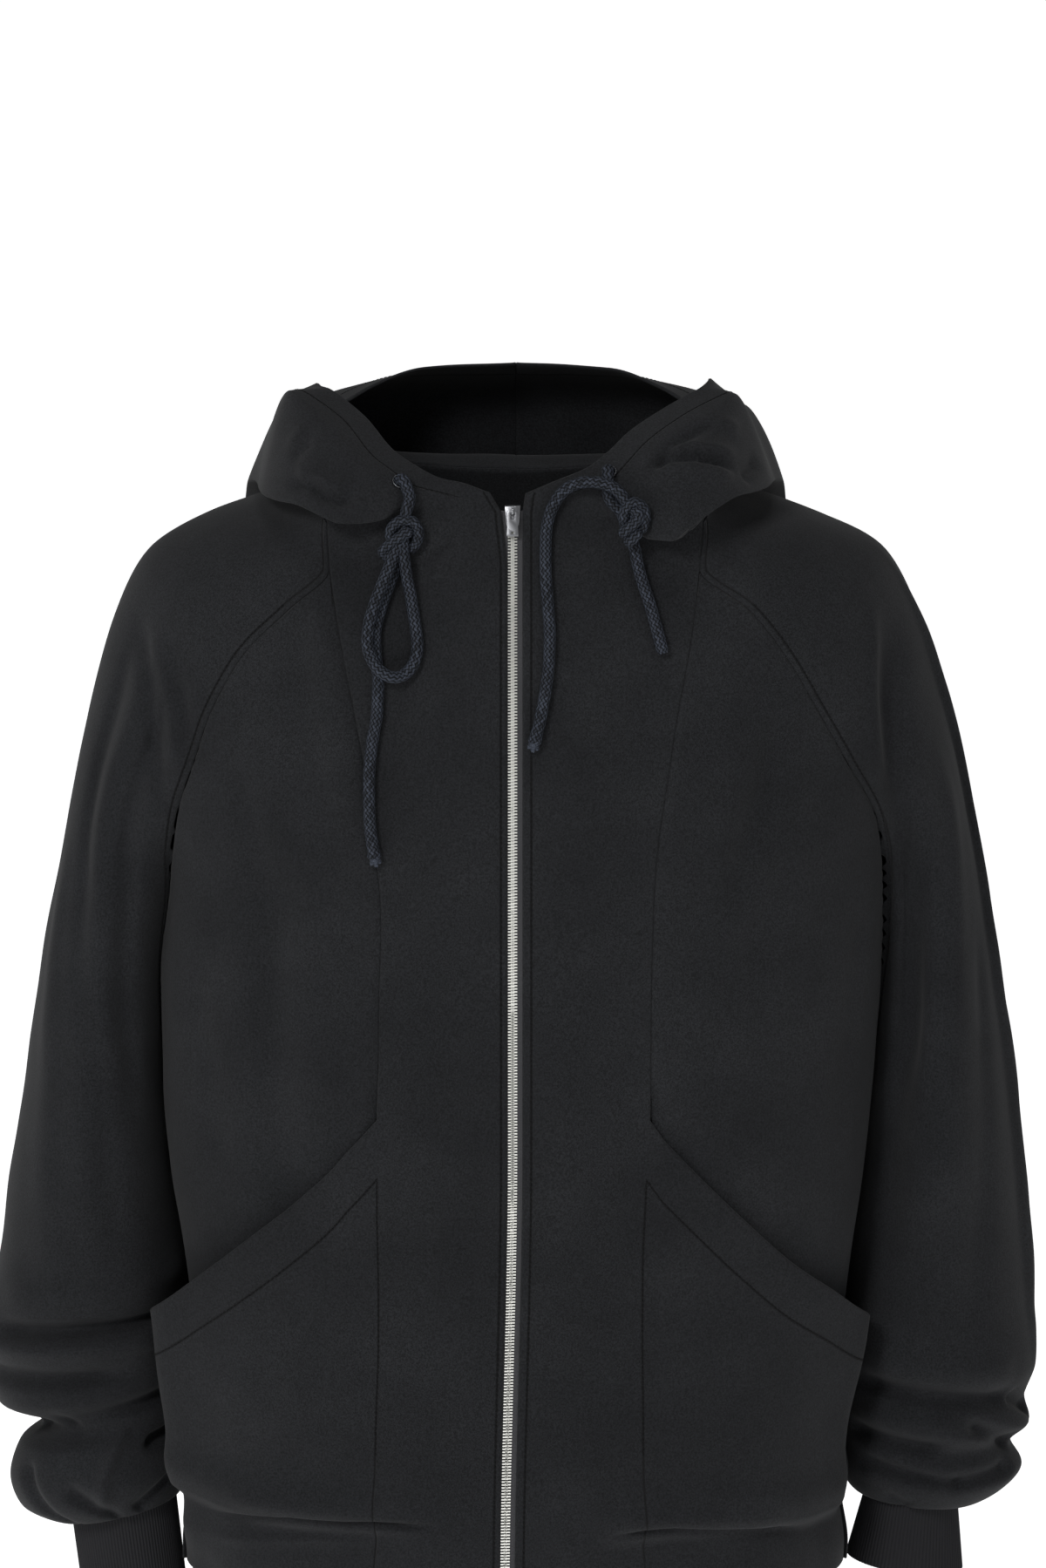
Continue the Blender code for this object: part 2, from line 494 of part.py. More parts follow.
def sleeve_ring(name, side, row, turns):
    """One ring of a sleeve, from the front seam over the outer line to the back seam."""
    table = SLEEVE[name]
    outer = np.array([side * float(smooth(table[:, 0], table[:, 1], row)),
                      float(smooth(table[:, 0], table[:, 2], row)),
                      float(smooth(table[:, 0], table[:, 3], row))])
    roundness = float(smooth(table[:, 0], table[:, 4], row))
    half = float(smooth(table[:, 0], table[:, 5], row))
    lift = UNDERARM_CLEAR * float(ease((row - 4.0) / 2.0))
    if row <= UNDERARM_ROW:
        front = body_point(side, float(row_value(4 if side < 0 else 5, row)),
                           float(row_value(1, row)), lift)
        back = body_point(side, float(row_value(6, row)), float(row_value(7, row)), lift)
    else:
        low = table[UNDERARM_ROW + 1:]
        keys = np.concatenate([[UNDERARM_ROW], low[:, 0]])
        start = body_point(side, 92.0, ROWS[UNDERARM_ROW, 1], lift)
        start = start * (side, 1, 1)
        front = np.array([float(smooth(keys, np.concatenate([[start[a]], low[:, 6 + a]]), row))
                          for a in range(3)]) * (side, 1, 1)
        back = front
    middle = (front + back) / 2
    chord = (front - back) / 2
    reach = outer - middle
    turn = np.linspace(0, math.pi, 121)[:, None]
    spread = (1 - roundness) * np.sin(turn) + roundness * (1 - np.cos(2 * turn)) / 2
    curve = middle + chord * np.cos(turn) + reach * spread
    curve = curve + np.array([0.0, -half, 0.0]) * np.sin(2 * turn)
    # Turns are shares of the ring's length, so the cloth is spread evenly round it.
    length = np.concatenate([[0], np.cumsum(np.linalg.norm(np.diff(curve, axis=0), axis=1))])
    share = np.clip(np.asarray(turns, float), 0, 1) * length[-1]
    ring = np.stack([np.interp(share, length, curve[:, a]) for a in range(3)], axis=-1)
    centre = middle + reach * 0.5
    folds = np.zeros(np.shape(turns))
    around = np.asarray(turns, float) * 0.40
    down = float(-smooth(table[:, 0], table[:, 3], row))
    for fold in SLEEVE_FOLDS[name]:
        down0 = float(-smooth(table[:, 0], table[:, 3], fold[1]))
        down1 = float(-smooth(table[:, 0], table[:, 3], fold[3]))
        folds = folds + fold_height(around, down, 0.40 * fold[0], down0, 0.40 * fold[2], down1,
                                    fold[4], fold[5])
    edge = 1.0
    if row < UNDERARM_ROW or row > CUFF_ROW - 1:
        edge = ease(np.minimum(np.asarray(turns, float), 1 - np.asarray(turns, float)) / 0.08)
    if row > CUFF_ROW - 1:
        edge = edge * (CUFF_ROW - row)
    if row <= 2:
        edge = 0.0
    away = ring - centre
    away = away / np.maximum(np.linalg.norm(away, axis=-1, keepdims=True), 1e-6)
    return ring + away * (folds * edge)[..., None]


def sleeve_grid(name, side, rows, columns):
    turns = np.linspace(0, 1, columns + 1)
    grid = np.array([sleeve_ring(name, side, r, turns) for r in rows])
    for i, row in enumerate(rows):
        if row >= UNDERARM_ROW:
            grid[i, -1] = grid[i, 0]
    return grid


# ------------------------------------------------------------------ from surfaces to solids
def weld(grids):
    """Joins grids of points into one sheet; points at the same place become one."""
    index = {}
    points = []
    faces = []

    def number(p):
        key = tuple(int(round(c * 2e6)) for c in p)
        if key not in index:
            index[key] = len(points)
            points.append(p)
        return index[key]

    for grid, flip in grids:
        ids = [[number(p) for p in line] for line in grid]
        for i in range(len(ids) - 1):
            for j in range(len(ids[0]) - 1):
                loop = [ids[i][j], ids[i][j + 1], ids[i + 1][j + 1], ids[i + 1][j]]
                loop = [v for k, v in enumerate(loop) if v != loop[k - 1]]
                if flip:
                    loop = loop[::-1]
                if len(loop) == 3:
                    faces.append(loop)
                elif len(loop) == 4:
                    # Split on the shorter diagonal, so both skins of a wall are split alike.
                    a, b, c, d = [np.asarray(points[v]) for v in loop]
                    short = np.linalg.norm(a - c) <= np.linalg.norm(b - d)
                    loop = loop if short else loop[1:] + loop[:1]
                    faces += [[loop[0], loop[1], loop[2]], [loop[0], loop[2], loop[3]]]
    return np.array(points), faces


def corner_normals(points, faces):
    """Sum at each point of its faces' normals, weighted by the corner's angle."""
    total = np.zeros((len(points), 3))
    for face in faces:
        for k, v in enumerate(face):
            a = points[face[k - 1]] - points[v]
            b = points[face[(k + 1) % len(face)]] - points[v]
            cross = np.cross(b, a)
            size = np.linalg.norm(cross)
            if size > 1e-14:
                angle = math.atan2(size, float(a @ b))
                total[v] += cross / size * angle
    return total


def sewn_normals(sheets):
    """Normals of sheets sewn together: a point on a seam gets one normal from all its neighbours."""
    shared = {}
    for points, faces in sheets.values():
        for p, n in zip(points, corner_normals(points, faces)):
            key = tuple(int(round(c * 2e4)) for c in p)
            shared[key] = shared.get(key, 0) + n
    normals = {}
    for name, (points, faces) in sheets.items():
        sums = np.array([shared[tuple(int(round(c * 2e4)) for c in p)] for p in points])
        normals[name] = sums / np.linalg.norm(sums, axis=1, keepdims=True)
    return normals


def edge_lines(faces):
    """Edges that belong to one face only, in the direction of that face."""
    count = {}
    for face in faces:
        for k, v in enumerate(face):
            count[(face[k - 1], v)] = count.get((face[k - 1], v), 0) + 1
    return [edge for edge in count if (edge[1], edge[0]) not in count]


def draw_in(points, normals, faces, amount):
    """Moves the points of the open edges inward along the sheet."""
    inward = {}
    for a, b in edge_lines(faces):
        line = points[b] - points[a]
        line = line / np.linalg.norm(line)
        for v in (a, b):
            step = np.cross(normals[v], line)
            inward.setdefault(v, []).append(step / np.linalg.norm(step))
    moved = points.copy()
    for v, steps in inward.items():
        both = sum(steps)
        scale = max(1 + float(steps[0] @ steps[-1]), 0.35) if len(steps) > 1 else 1.0
        moved[v] = points[v] + both / scale * amount
    return moved


def solid(name, points, faces, material):
    """Makes the named object of one solid."""
    mesh = bpy.data.meshes.new(name)
    mesh.from_pydata([tuple(p) for p in points], [], faces)
    mesh.validate()
    made = bpy.data.objects.new(name, mesh)
    mesh.materials.append(material)
    GARMENT.objects.link(made)
    return made


def wall(name, points, faces, normals, thick, material, gap=SEAM_GAP):
    """Closed wall: the sheet is its outer face, and the inner face lies `thick` behind."""
    outer = draw_in(points, normals, faces, gap / 2)
    inner = outer - normals * thick
    count = len(points)
    skin = [list(f) for f in faces]
    skin += [[v + count for v in reversed(f)] for f in faces]
    skin += [[b, a, a + count, b + count] for a, b in edge_lines(faces)]
    return solid(name, np.vstack([outer, inner]), skin, material)


def strip_wall(name, grid, flip, thick, material, gap=0.0):
    """A wall from one grid that is sewn to nothing else."""
    points, faces = weld([(grid, flip)])
    normals = corner_normals(points, faces)
    normals = normals / np.linalg.norm(normals, axis=1, keepdims=True)
    return wall(name, points, faces, normals, thick, material, gap)


def material(name, colour, metallic, roughness):
    made = bpy.data.materials.new(name)
    made.use_nodes = True
    shader = made.node_tree.nodes["Principled BSDF"]
    shader.inputs["Base Color"].default_value = (*colour, 1.0)
    shader.inputs["Metallic"].default_value = metallic
    shader.inputs["Roughness"].default_value = roughness
    return made


# ------------------------------------------------------------------ sewn panels
def build_panels():
    """Fronts with pockets and hood halves, side fronts, back and sleeves, sewn as one group."""
    rows = list(range(LAST_ROW + 1))
    sheets = {}
    for name, side in SIDES:
        flip = side > 0
        chest = chest_grid(name, side, rows, ACROSS_FRONT)
        hood = hood_grid(name, side, range(ROUND_SLEEVE + HALF_BACK + 1), ACROSS_FRONT)
        chest[0] = hood[0]
        pocket = pocket_grid(name, side, rows[UNDERARM_ROW:], ACROSS_SIDE)
        pocket[:, 0] = chest[UNDERARM_ROW:, -1]
        sheets["front_" + name] = weld([(chest, flip), (hood, not flip), (pocket, flip)])
        sheets["side_front_" + name] = weld([(side_grid(side, rows[2:], ACROSS_SIDE), flip)])
        sleeve = sleeve_grid(name, side, range(CUFF_ROW + 1), ROUND_SLEEVE)
        sheets["sleeve_" + name] = weld([(sleeve, flip)])
    sheets["back"] = weld([(back_grid(rows, HALF_BACK), False)])
    normals = sewn_normals(sheets)
    for name, (points, faces) in sheets.items():
        cloth = material("fleece_" + name, (0.016, 0.017, 0.018), 0.0, 0.92)
        gap = SEAM_GAP * (1.8 if name.startswith("front_") else 1.0)
        wall(name, points, faces, normals[name], CLOTH, cloth, gap)


def even_spaced(points, count):
    """`count` points evenly spaced by length along a line of points."""
    length = np.concatenate([[0], np.cumsum(np.linalg.norm(np.diff(points, axis=0), axis=1))])
    at = np.linspace(0, length[-1], count)
    return np.stack([np.interp(at, length, points[:, a]) for a in range(3)], axis=-1)


def ribbed_band(name, lines, ribs, closed, flip, cloth):
    """Rib knit: vertical ribs raised on the outer face, over a plain inner face."""
    count = 2 * ribs + 1
    rings = np.array([even_spaced(line, count) for line in lines])
    if closed:
        rings[:, -1] = rings[:, 0]
    points, faces = weld([(rings, flip)])
    normals = corner_normals(points, faces)
    normals = normals / np.linalg.norm(normals, axis=1, keepdims=True)
    place = {tuple(np.round(p, 7)): k for k, p in enumerate(points)}
    low = np.zeros(len(points))
    for line in rings:
        for j in range(1, count, 2):
            low[place[tuple(np.round(line[j], 7))]] = RIB_HIGH
    inner = points - normals * RIB_WALL
    outer = points - normals * low[:, None]
    total = len(points)
    skin = [list(f) for f in faces] + [[v + total for v in reversed(f)] for f in faces]
    skin += [[b, a, a + total, b + total] for a, b in edge_lines(faces)]
    return solid(name, np.vstack([outer, inner]), skin, cloth)


def cuff_lines(name, side, dense=97):
    """Rings of a cuff, from the sleeve's last ring to the rim."""
    turns = np.linspace(0, 1, dense)
    top = sleeve_ring(name, side, float(CUFF_ROW), turns)
    centre = top.mean(axis=0)
    away = top - centre
    top = top - away / np.linalg.norm(away, axis=1, keepdims=True) * 0.0009
    top[:, 2] -= 0.0008
    in_x, out_x, mid_y, in_z, out_z, half = CUFF_RIM[name]
    spread = (1 - np.cos(2 * math.pi * turns)) / 2
    rim = np.stack([side * (in_x + (out_x - in_x) * spread),
                    mid_y - half * np.sin(2 * math.pi * turns),
                    in_z + (out_z - in_z) * spread], axis=-1)
    return [top + (rim - top) * ease(t) for t in (0.0, 0.5, 1.0)]


def build_cuffs():
    for name, side in SIDES:
        cloth = material("rib_cuff_" + name, (0.018, 0.018, 0.019), 0.0, 0.9)
        ribbed_band("cuff_" + name, cuff_lines(name, side), CUFF_RIBS, True, side > 0, cloth)


def hem_line(z, inset):
    """The hem's outline at one height, from the zip round the back to the zip again."""
    halves = []
    for name, side in SIDES:
        edge = float(front_edge(name, z))
        start = float(angle_at(side, edge, z)) if side * edge > 0 else 0.0
        angle = np.linspace(start, 180.0, 120)
        half = body_point(side, angle, z, -inset)
        half[0, 0] = edge
        halves.append(half)
    return np.concatenate([halves[0], halves[1][-2::-1]])


def build_hem():
    cloth = material("rib_hem", (0.018, 0.018, 0.019), 0.0, 0.9)
    lines = [hem_line(z, 0.0004) for z in (HEM_TOP, HEM_END)]
    ribbed_band("hem_rib", lines, HEM_RIBS, False, False, cloth)


# ------------------------------------------------------------------ zip
ZIP_BEHIND = 0.0032     # the chain's middle lies this far behind the face of the fronts
ZIP_TOP = -0.0030
ZIP_END = -0.7495


def zip_levels():
    """Heights where the zip's strips have a section."""
    levels = [ZIP_TOP] + [float(z) for z in ROWS[2:, 1]] + [-0.720, ZIP_END]
    return np.array(levels)


def zip_point(offset, z, forward):
    """Point at a distance beside the chain's middle line, moved forward of its plane."""
    x = ZIP_CENTRE + zip_shift(z) + offset
    y = np.array([front_y(0.0, float(h)) for h in z]) + ZIP_BEHIND - forward
    return np.stack([x + 0 * z, y, z], axis=-1)


def build_zip_strips():
    z = zip_levels()
    metal = material("zip_teeth", (0.45, 0.45, 0.43), 1.0, 0.35)
    half = CHAIN_WIDE / 2
    grid = np.stack([zip_point(-half, z, CHAIN_THICK / 2), zip_point(half, z, CHAIN_THICK / 2)], axis=1)
    strip_wall("zip_chain", grid, True, CHAIN_THICK, metal)
    woven = material("zip_tape", (0.014, 0.014, 0.015), 0.0, 0.85)
    for name, side in SIDES:
        near = half + 0.0003
        ends = (side * near, side * (near + TAPE_WIDE))
        grid = np.stack([zip_point(ends[0], z, TAPE / 2), zip_point(ends[1], z, TAPE / 2)], axis=1)
        strip_wall("zip_tape_" + name, grid, side > 0, TAPE, woven)


SLIDER_Z = -0.0060      # middle of the slider
SLIDER_HIGH = 0.0125
SLIDER_WIDE_TOP = 0.0100
SLIDER_WIDE_LOW = 0.0078
PLATE = 0.0013
PLATE_CLEAR = 0.0006    # between the chain and each plate
BAIL_INNER = 0.0014      # radius inside the bail's arch
BAIL_THICK = 0.0009
BAIL_WIDE = 0.0016
PULL_THICK = 0.0012
PIVOT_UP = 0.0018       # pivot above the slider's middle
PIVOT_OUT = 0.0052      # pivot in front of the chain's middle


def zip_lean():
    """Lean of the zip at the slider, as the chest slopes back to the neck."""
    rise = front_y(0.0, SLIDER_Z + 0.01) - front_y(0.0, SLIDER_Z - 0.01)
    return math.atan2(rise, 0.02)


def from_slider(across, forward, up):
    """Point given in the slider's own frame."""
    lean = zip_lean()
    y0 = front_y(0.0, SLIDER_Z) + ZIP_BEHIND
    y = y0 - forward * math.cos(lean) + up * math.sin(lean)
    z = SLIDER_Z + forward * math.sin(lean) + up * math.cos(lean)
    return (ZIP_CENTRE + across, y, z)


def build_slider():
    """Two plates round the chain with a post between them above its end, and a bail in front."""
    top = SLIDER_HIGH / 2
    post = top - 0.0026
    reach = CHAIN_THICK / 2 + PLATE_CLEAR
    side_view = [(reach + PLATE, -top), (reach + PLATE, top - 0.001), (reach, top), (-reach, top),
                 (-reach - PLATE, top - 0.001), (-reach - PLATE, -top), (-reach, -top), (-reach, post),
                 (reach, post), (reach, -top)]
    points = []
    for sign in (-1, 1):
        for forward, up in side_view:
            share = (up + top) / (2 * top)
            half = (SLIDER_WIDE_LOW + (SLIDER_WIDE_TOP - SLIDER_WIDE_LOW) * share) / 2
            points.append(from_slider(sign * half, forward, up))
    count = len(side_view)
    faces = [list(range(count)), list(range(2 * count - 1, count - 1, -1))]
    faces += [[k, k + count, (k + 1) % count + count, (k + 1) % count] for k in range(count)]
    metal = material("zip_slider", (0.35, 0.35, 0.36), 1.0, 0.3)
    body = solid("zip_slider", points, faces, metal)
    clean_normals(body)
    bail = build_bail(reach + PLATE)
    join = body.modifiers.new("bail", "BOOLEAN")
    join.operation = "UNION"
    join.solver = "EXACT"
    join.object = bail


def build_bail(face):
    """Arch from the slider's front plate round the pull's cross bar."""
    ring = []
    outside = BAIL_INNER + BAIL_THICK
    corners = ((BAIL_INNER, -1), (outside, -1), (outside, 1), (BAIL_INNER, 1))
    arc = np.radians(np.linspace(-100, 100, 9))
    for turn in arc:
        for reach, sign in corners:
            forward = PIVOT_OUT + reach * math.cos(turn)
            up = PIVOT_UP + reach * math.sin(turn)
            ring.append((sign * BAIL_WIDE / 2, forward, up))
    # Straight legs run from both ends of the arc into the plate.
    legs = []
    for turn in (arc[0], arc[-1]):
        for reach, sign in corners:
            legs.append((sign * BAIL_WIDE / 2, face - 0.0006, PIVOT_UP + reach * math.sin(turn)))
    loops = [legs[:4]] + [ring[4 * k:4 * k + 4] for k in range(len(arc))] + [legs[4:]]
    points = [from_slider(*p) for loop in loops for p in loop]
    faces = [[0, 1, 2, 3], [4 * len(loops) - k for k in (1, 2, 3, 4)]]
    for k in range(len(loops) - 1):
        for j in range(4):
            a, b = 4 * k + j, 4 * k + (j + 1) % 4
            faces.append([a, a + 4, b + 4, b])
    metal = bpy.data.materials["zip_slider"]
    helper = solid("helper_bail", points, faces, metal)
    clean_normals(helper)
    helper.hide_render = True
    helper.display_type = "WIRE"
    return helper


def clean_normals(made):
    """Turns every face of a closed solid outward."""
    mesh = bmesh.new()
    mesh.from_mesh(made.data)
    bmesh.ops.recalc_face_normals(mesh, faces=mesh.faces)
    mesh.to_mesh(made.data)
    mesh.free()


def build_pull():
    """Flat pull tab with an eye for the bail and a small hole near its end."""
    outline = np.array([
        # down    half width  inner half width
        (-0.0008, 0.0026, 0.0013),
        (0.0007, 0.0034, 0.0013),
        (0.0034, 0.0037, 0.0013),
        (0.0048, 0.0036, 0.0013),
        (0.0100, 0.0035, 0.0008),
        (0.0124, 0.0036, 0.0008),
        (0.0140, 0.0038, 0.0008),
        (0.0154, 0.0036, 0.0008),
    ])
    grid = np.zeros((len(outline), 4, 3))
    for i, (down, half, inner) in enumerate(outline):
        for j, x in enumerate((-half, -inner, inner, half)):
            grid[i, j] = from_slider(x, PIVOT_OUT + PULL_THICK / 2, PIVOT_UP - down)
    points, faces = weld([(grid, False)])
    holes = (1 + 3 * 1, 1 + 3 * 2, 1 + 3 * 5)
    faces = [f for k, f in enumerate(faces) if k // 2 not in holes]
    lean = zip_lean()
    normals = np.tile([0.0, -math.cos(lean), math.sin(lean)], (len(points), 1))
    faces = [f[::-1] for f in faces]
    metal = material("zip_pull", (0.40, 0.40, 0.40), 1.0, 0.3)
    made = wall("zip_pull", points, faces, normals, PULL_THICK, metal, 0.0)
    pivot = np.array(from_slider(0.0, PIVOT_OUT, PIVOT_UP))
    for vertex in made.data.vertices:
        vertex.co = np.array(vertex.co) - pivot
    made.location = pivot


# ------------------------------------------------------------------ hood cord
EYELET_RIM = 0.0010     # width of the eyelet's ring
EYELET_HIGH = 0.0008
EYELET_HOLE = CORD / 2 + 0.0002
EXIT_RISE = 0.0016      # the cord leaves its eyelet straight up to here
EXIT_BEND = 0.0046      # then bends over on this radius
EYELETS = {"right": (-0.0724, 0.0150), "left": (0.0583, 0.0201)}
KNOTS = {"right": (-0.0693, -0.0171, 0.0062), "left": (0.0737, -0.0069, 0.0062)}

# Strands that show round each knot, in metres from the knot's middle.
KNOT_STRANDS = {
    "right": np.array([
        # strand  across    up       out
        (1, -0.0085, -0.0035, 0.0005),
        (1, -0.0080, 0.0040, 0.0015),
        (1, -0.0020, 0.0095, 0.0022),
        (1, 0.0050, 0.0088, 0.0022),
        (1, 0.0085, 0.0025, 0.0018),
        (1, 0.0070, -0.0050, 0.0010),
        (1, 0.0020, -0.0095, 0.0005),
        (2, 0.0045, 0.0038, 0.0035),
        (2, -0.0010, 0.0008, 0.0052),
        (2, -0.0065, -0.0035, 0.0046),
        (2, -0.0120, -0.0085, 0.0025),
        (2, -0.0152, -0.0122, 0.0005),
        (3, -0.0015, -0.0062, 0.0030),
        (3, -0.0070, -0.0098, 0.0035),
        (3, -0.0128, -0.0150, 0.0010),
    ]),
    "left": np.array([
        # strand  across    up       out
        (1, -0.0060, -0.0010, 0.0015),
        (1, -0.0058, 0.0065, 0.0020),
        (1, 0.0000, 0.0118, 0.0022),
        (1, 0.0056, 0.0078, 0.0020),
        (1, 0.0062, 0.0000, 0.0015),
        (1, 0.0034, -0.0068, 0.0010),
        (2, -0.0015, 0.0080, 0.0035),
        (2, 0.0028, 0.0042, 0.0048),
        (2, 0.0002, 0.0000, 0.0052),
        (2, -0.0045, -0.0045, 0.0046),
        (2, -0.0086, -0.0088, 0.0025),
        (3, 0.0036, -0.0048, 0.0035),
        (3, -0.0005, -0.0096, 0.0040),
        (3, -0.0056, -0.0140, 0.0025),
    ]),
}

# Each stretch of cord by its middle line: x, z and its height above the cloth.
STRETCHES = {
    "cord_drop_right": np.array([
        # x        z        height
        (-0.0671, 0.0107, 0.0060),
        (-0.0660, 0.0055, 0.0063),
        (-0.0676, -0.0003, 0.0066),
        (-0.0692, -0.0064, 0.0070),
        (-0.0698, -0.0135, 0.0070),
    ]),
    "cord_loop_right": np.array([
        # x        z        height
        (-0.0735, -0.0249, 0.0100),
        (-0.0778, -0.0337, 0.0118),
        (-0.0824, -0.0448, 0.0114),
        (-0.0874, -0.0575, 0.0108),
        (-0.0916, -0.0724, 0.0108),
        (-0.0912, -0.0871, 0.0114),
        (-0.0852, -0.0975, 0.0122),
        (-0.0778, -0.1022, 0.0108),
        (-0.0704, -0.1019, 0.0065),
        (-0.0645, -0.0968, 0.0044),
        (-0.0612, -0.0862, 0.0043),
        (-0.0623, -0.0730, 0.0043),
        (-0.0648, -0.0571, 0.0050),
        (-0.0674, -0.0435, 0.0080),
        (-0.0688, -0.0342, 0.0109),
        (-0.0700, -0.0260, 0.0095),
    ]),
    "cord_tail_right": np.array([
        # x        z        height
        (-0.0715, -0.0282, 0.0050),
        (-0.0742, -0.0362, 0.0043),
        (-0.0790, -0.0479, 0.0042),
        (-0.0834, -0.0600, 0.0042),
        (-0.0871, -0.0743, 0.0042),
        (-0.0871, -0.0892, 0.0042),
        (-0.0855, -0.1041, 0.0042),
        (-0.0858, -0.1159, 0.0042),
        (-0.0866, -0.1287, 0.0042),
        (-0.0887, -0.1401, 0.0042),
        (-0.0905, -0.1536, 0.0042),
        (-0.0914, -0.1753, 0.0042),
        (-0.0903, -0.1998, 0.0042),
        (-0.0878, -0.2162, 0.0052),
    ]),
    "cord_drop_left": np.array([
        # x        z        height
        (0.0576, 0.0143, 0.0058),
        (0.0574, 0.0091, 0.0060),
        (0.0592, 0.0044, 0.0065),
        (0.0636, 0.0003, 0.0070),
        (0.0684, -0.0031, 0.0070),
    ]),
    "cord_long_left": np.array([
        # x        z        height
        (0.0727, -0.0026, 0.0080),
        (0.0683, 0.0056, 0.0115),
        (0.0651, 0.0099, 0.0134),
        (0.0613, 0.0134, 0.0138),
        (0.0548, 0.0159, 0.0138),
        (0.0473, 0.0169, 0.0125),
        (0.0381, 0.0151, 0.0095),
        (0.0300, 0.0104, 0.0065),
        (0.0238, 0.0017, 0.0046),
        (0.0197, -0.0096, 0.0042),
        (0.0186, -0.0233, 0.0042),
        (0.0186, -0.0397, 0.0042),
        (0.0199, -0.0575, 0.0042),
        (0.0211, -0.0760, 0.0042),
        (0.0205, -0.0950, 0.0042),
        (0.0180, -0.1143, 0.0042),
        (0.0148, -0.1308, 0.0042),
        (0.0113, -0.1440, 0.0052),
    ]),
    "cord_short_left": np.array([
        # x        z        height
        (0.0727, -0.0147, 0.0070),
        (0.0739, -0.0243, 0.0065),
        (0.0750, -0.0308, 0.0055),
        (0.0772, -0.0400, 0.0043),
        (0.0837, -0.0600, 0.0042),
        (0.0884, -0.0765, 0.0042),
        (0.0918, -0.0892, 0.0042),
    ]),
}
STRETCH_STEP = {             # distance between a stretch's rings
    "cord_drop_right": 0.0024, "cord_loop_right": 0.0058, "cord_tail_right": 0.0090,
    "cord_drop_left": 0.0024, "cord_long_left": 0.0080, "cord_short_left": 0.0090,
}
END_KNOTS = ("cord_tail_right", "cord_long_left")


def through(keys, points, at):
    """Smooth curve through a route's own points."""
    keys = np.asarray(keys, float)
    slope = np.gradient(points, keys, axis=0)
    k = np.clip(np.searchsorted(keys, at, side="right") - 1, 0, len(keys) - 2)
    step = np.asarray(keys[k + 1] - keys[k])[..., None]
    t = np.asarray(at - keys[k])[..., None] / step
    low = (2 * t**3 - 3 * t**2 + 1) * points[k] + (t**3 - 2 * t**2 + t) * step * slope[k]
    high = (3 * t**2 - 2 * t**3) * points[k + 1] + (t**3 - t**2) * step * slope[k + 1]
    return low + high


def cloth_tree():
    """Search tree over the panels that the cord lies on."""
    points, faces = [], []
    for name in ("front_right", "front_left", "side_front_right", "side_front_left"):
        mesh = bpy.data.objects[name].data
        first = len(points)
        points += [vertex.co.copy() for vertex in mesh.vertices]
        faces += [[first + k for k in face.vertices] for face in mesh.polygons]
    return BVHTree.FromPolygons(points, faces)


def above(cloth, x, z, height):
    """Point over the cloth at x and z, this far from it."""
    hit, normal, _, _ = cloth.ray_cast(Vector((x, -0.3, z)), Vector((0, 1, 0)))
    if hit is None:
        # Over the hood's rim there is no cloth behind, so the nearest serves.
        hit, normal, _, _ = cloth.find_nearest(Vector((x, -0.1, z)))
    point = hit + Vector((0, height / min(normal.y, -0.6), 0))
    for _ in range(6):
        near, _, _, gap = cloth.find_nearest(point)
        if gap < height:
            point += (point - near).normalized() * (height - gap)
    return point


def eyelet_frame(cloth, side):
    """Middle of an eyelet on the cloth, and the way out of it."""
    x, z = EYELETS[side]
    hit, _, _, _ = cloth.ray_cast(Vector((x, -0.3, z)), Vector((0, 1, 0)))
    out = Vector((0, 0, 0))
    for turn in np.linspace(0, 2 * math.pi, 12, endpoint=False):
        dx, dz = 0.004 * math.cos(turn), 0.003 * math.sin(turn)
        near = cloth.find_nearest(hit + Vector((dx, 0, dz)))
        out += near[1] if near[1].y < 0 else -near[1]
    return hit, out.normalized()


def seat(cloth, points, out, gap, start=0.008, step=0.0002):
    """Lowers points onto the cloth from above until the nearest of them is this far from it."""
    points = [Vector(point) + out * start for point in points]
    while min(cloth.find_nearest(point)[3] for point in points) > gap + step:
        points = [point - out * step for point in points]
    return points


def build_eyelet(cloth, side, sides=24):
    """Pressed metal ring round the cord's hole."""
    middle, out = eyelet_frame(cloth, side)
    across = out.cross(Vector((0, 0, 1))).normalized()
    up = across.cross(out)
    outer = EYELET_HOLE + EYELET_RIM
    profile = ((EYELET_HOLE, 0.0), (EYELET_HOLE, EYELET_HIGH), (outer, EYELET_HIGH * 0.55), (outer, 0.0))
    points, faces = [], []
    for k in range(sides):
        turn = 2 * math.pi * k / sides
        for radius, high in profile:
            points.append(middle + across * radius * math.cos(turn) + up * radius * math.sin(turn) + out * high)
    points = seat(cloth, points, out, SEAM_GAP, 0.003)
    for k in range(sides):
        for j in range(4):
            a, b = 4 * k, 4 * ((k + 1) % sides)
            faces.append([a + j, b + j, b + (j + 1) % 4, a + (j + 1) % 4])
    made = solid("eyelet_" + side, points, faces, material("eyelet_" + side, (0.16, 0.16, 0.17), 1.0, 0.35))
    clean_normals(made)


def knot_strands(cloth, side):
    """Knot's middle and closely spaced points along its strands."""
    middle = above(cloth, *KNOTS[side])
    table = KNOT_STRANDS[side]
    beads = []
    for strand in (1, 2, 3):
        rows = table[table[:, 0] == strand][:, 1:]
        keys = np.arange(len(rows))
        for t in np.linspace(0, len(rows) - 1, 12 * len(rows)):
            across, up, out = through(keys, rows, t)
            beads.append((across, -out, up))
    return middle, np.array(beads)


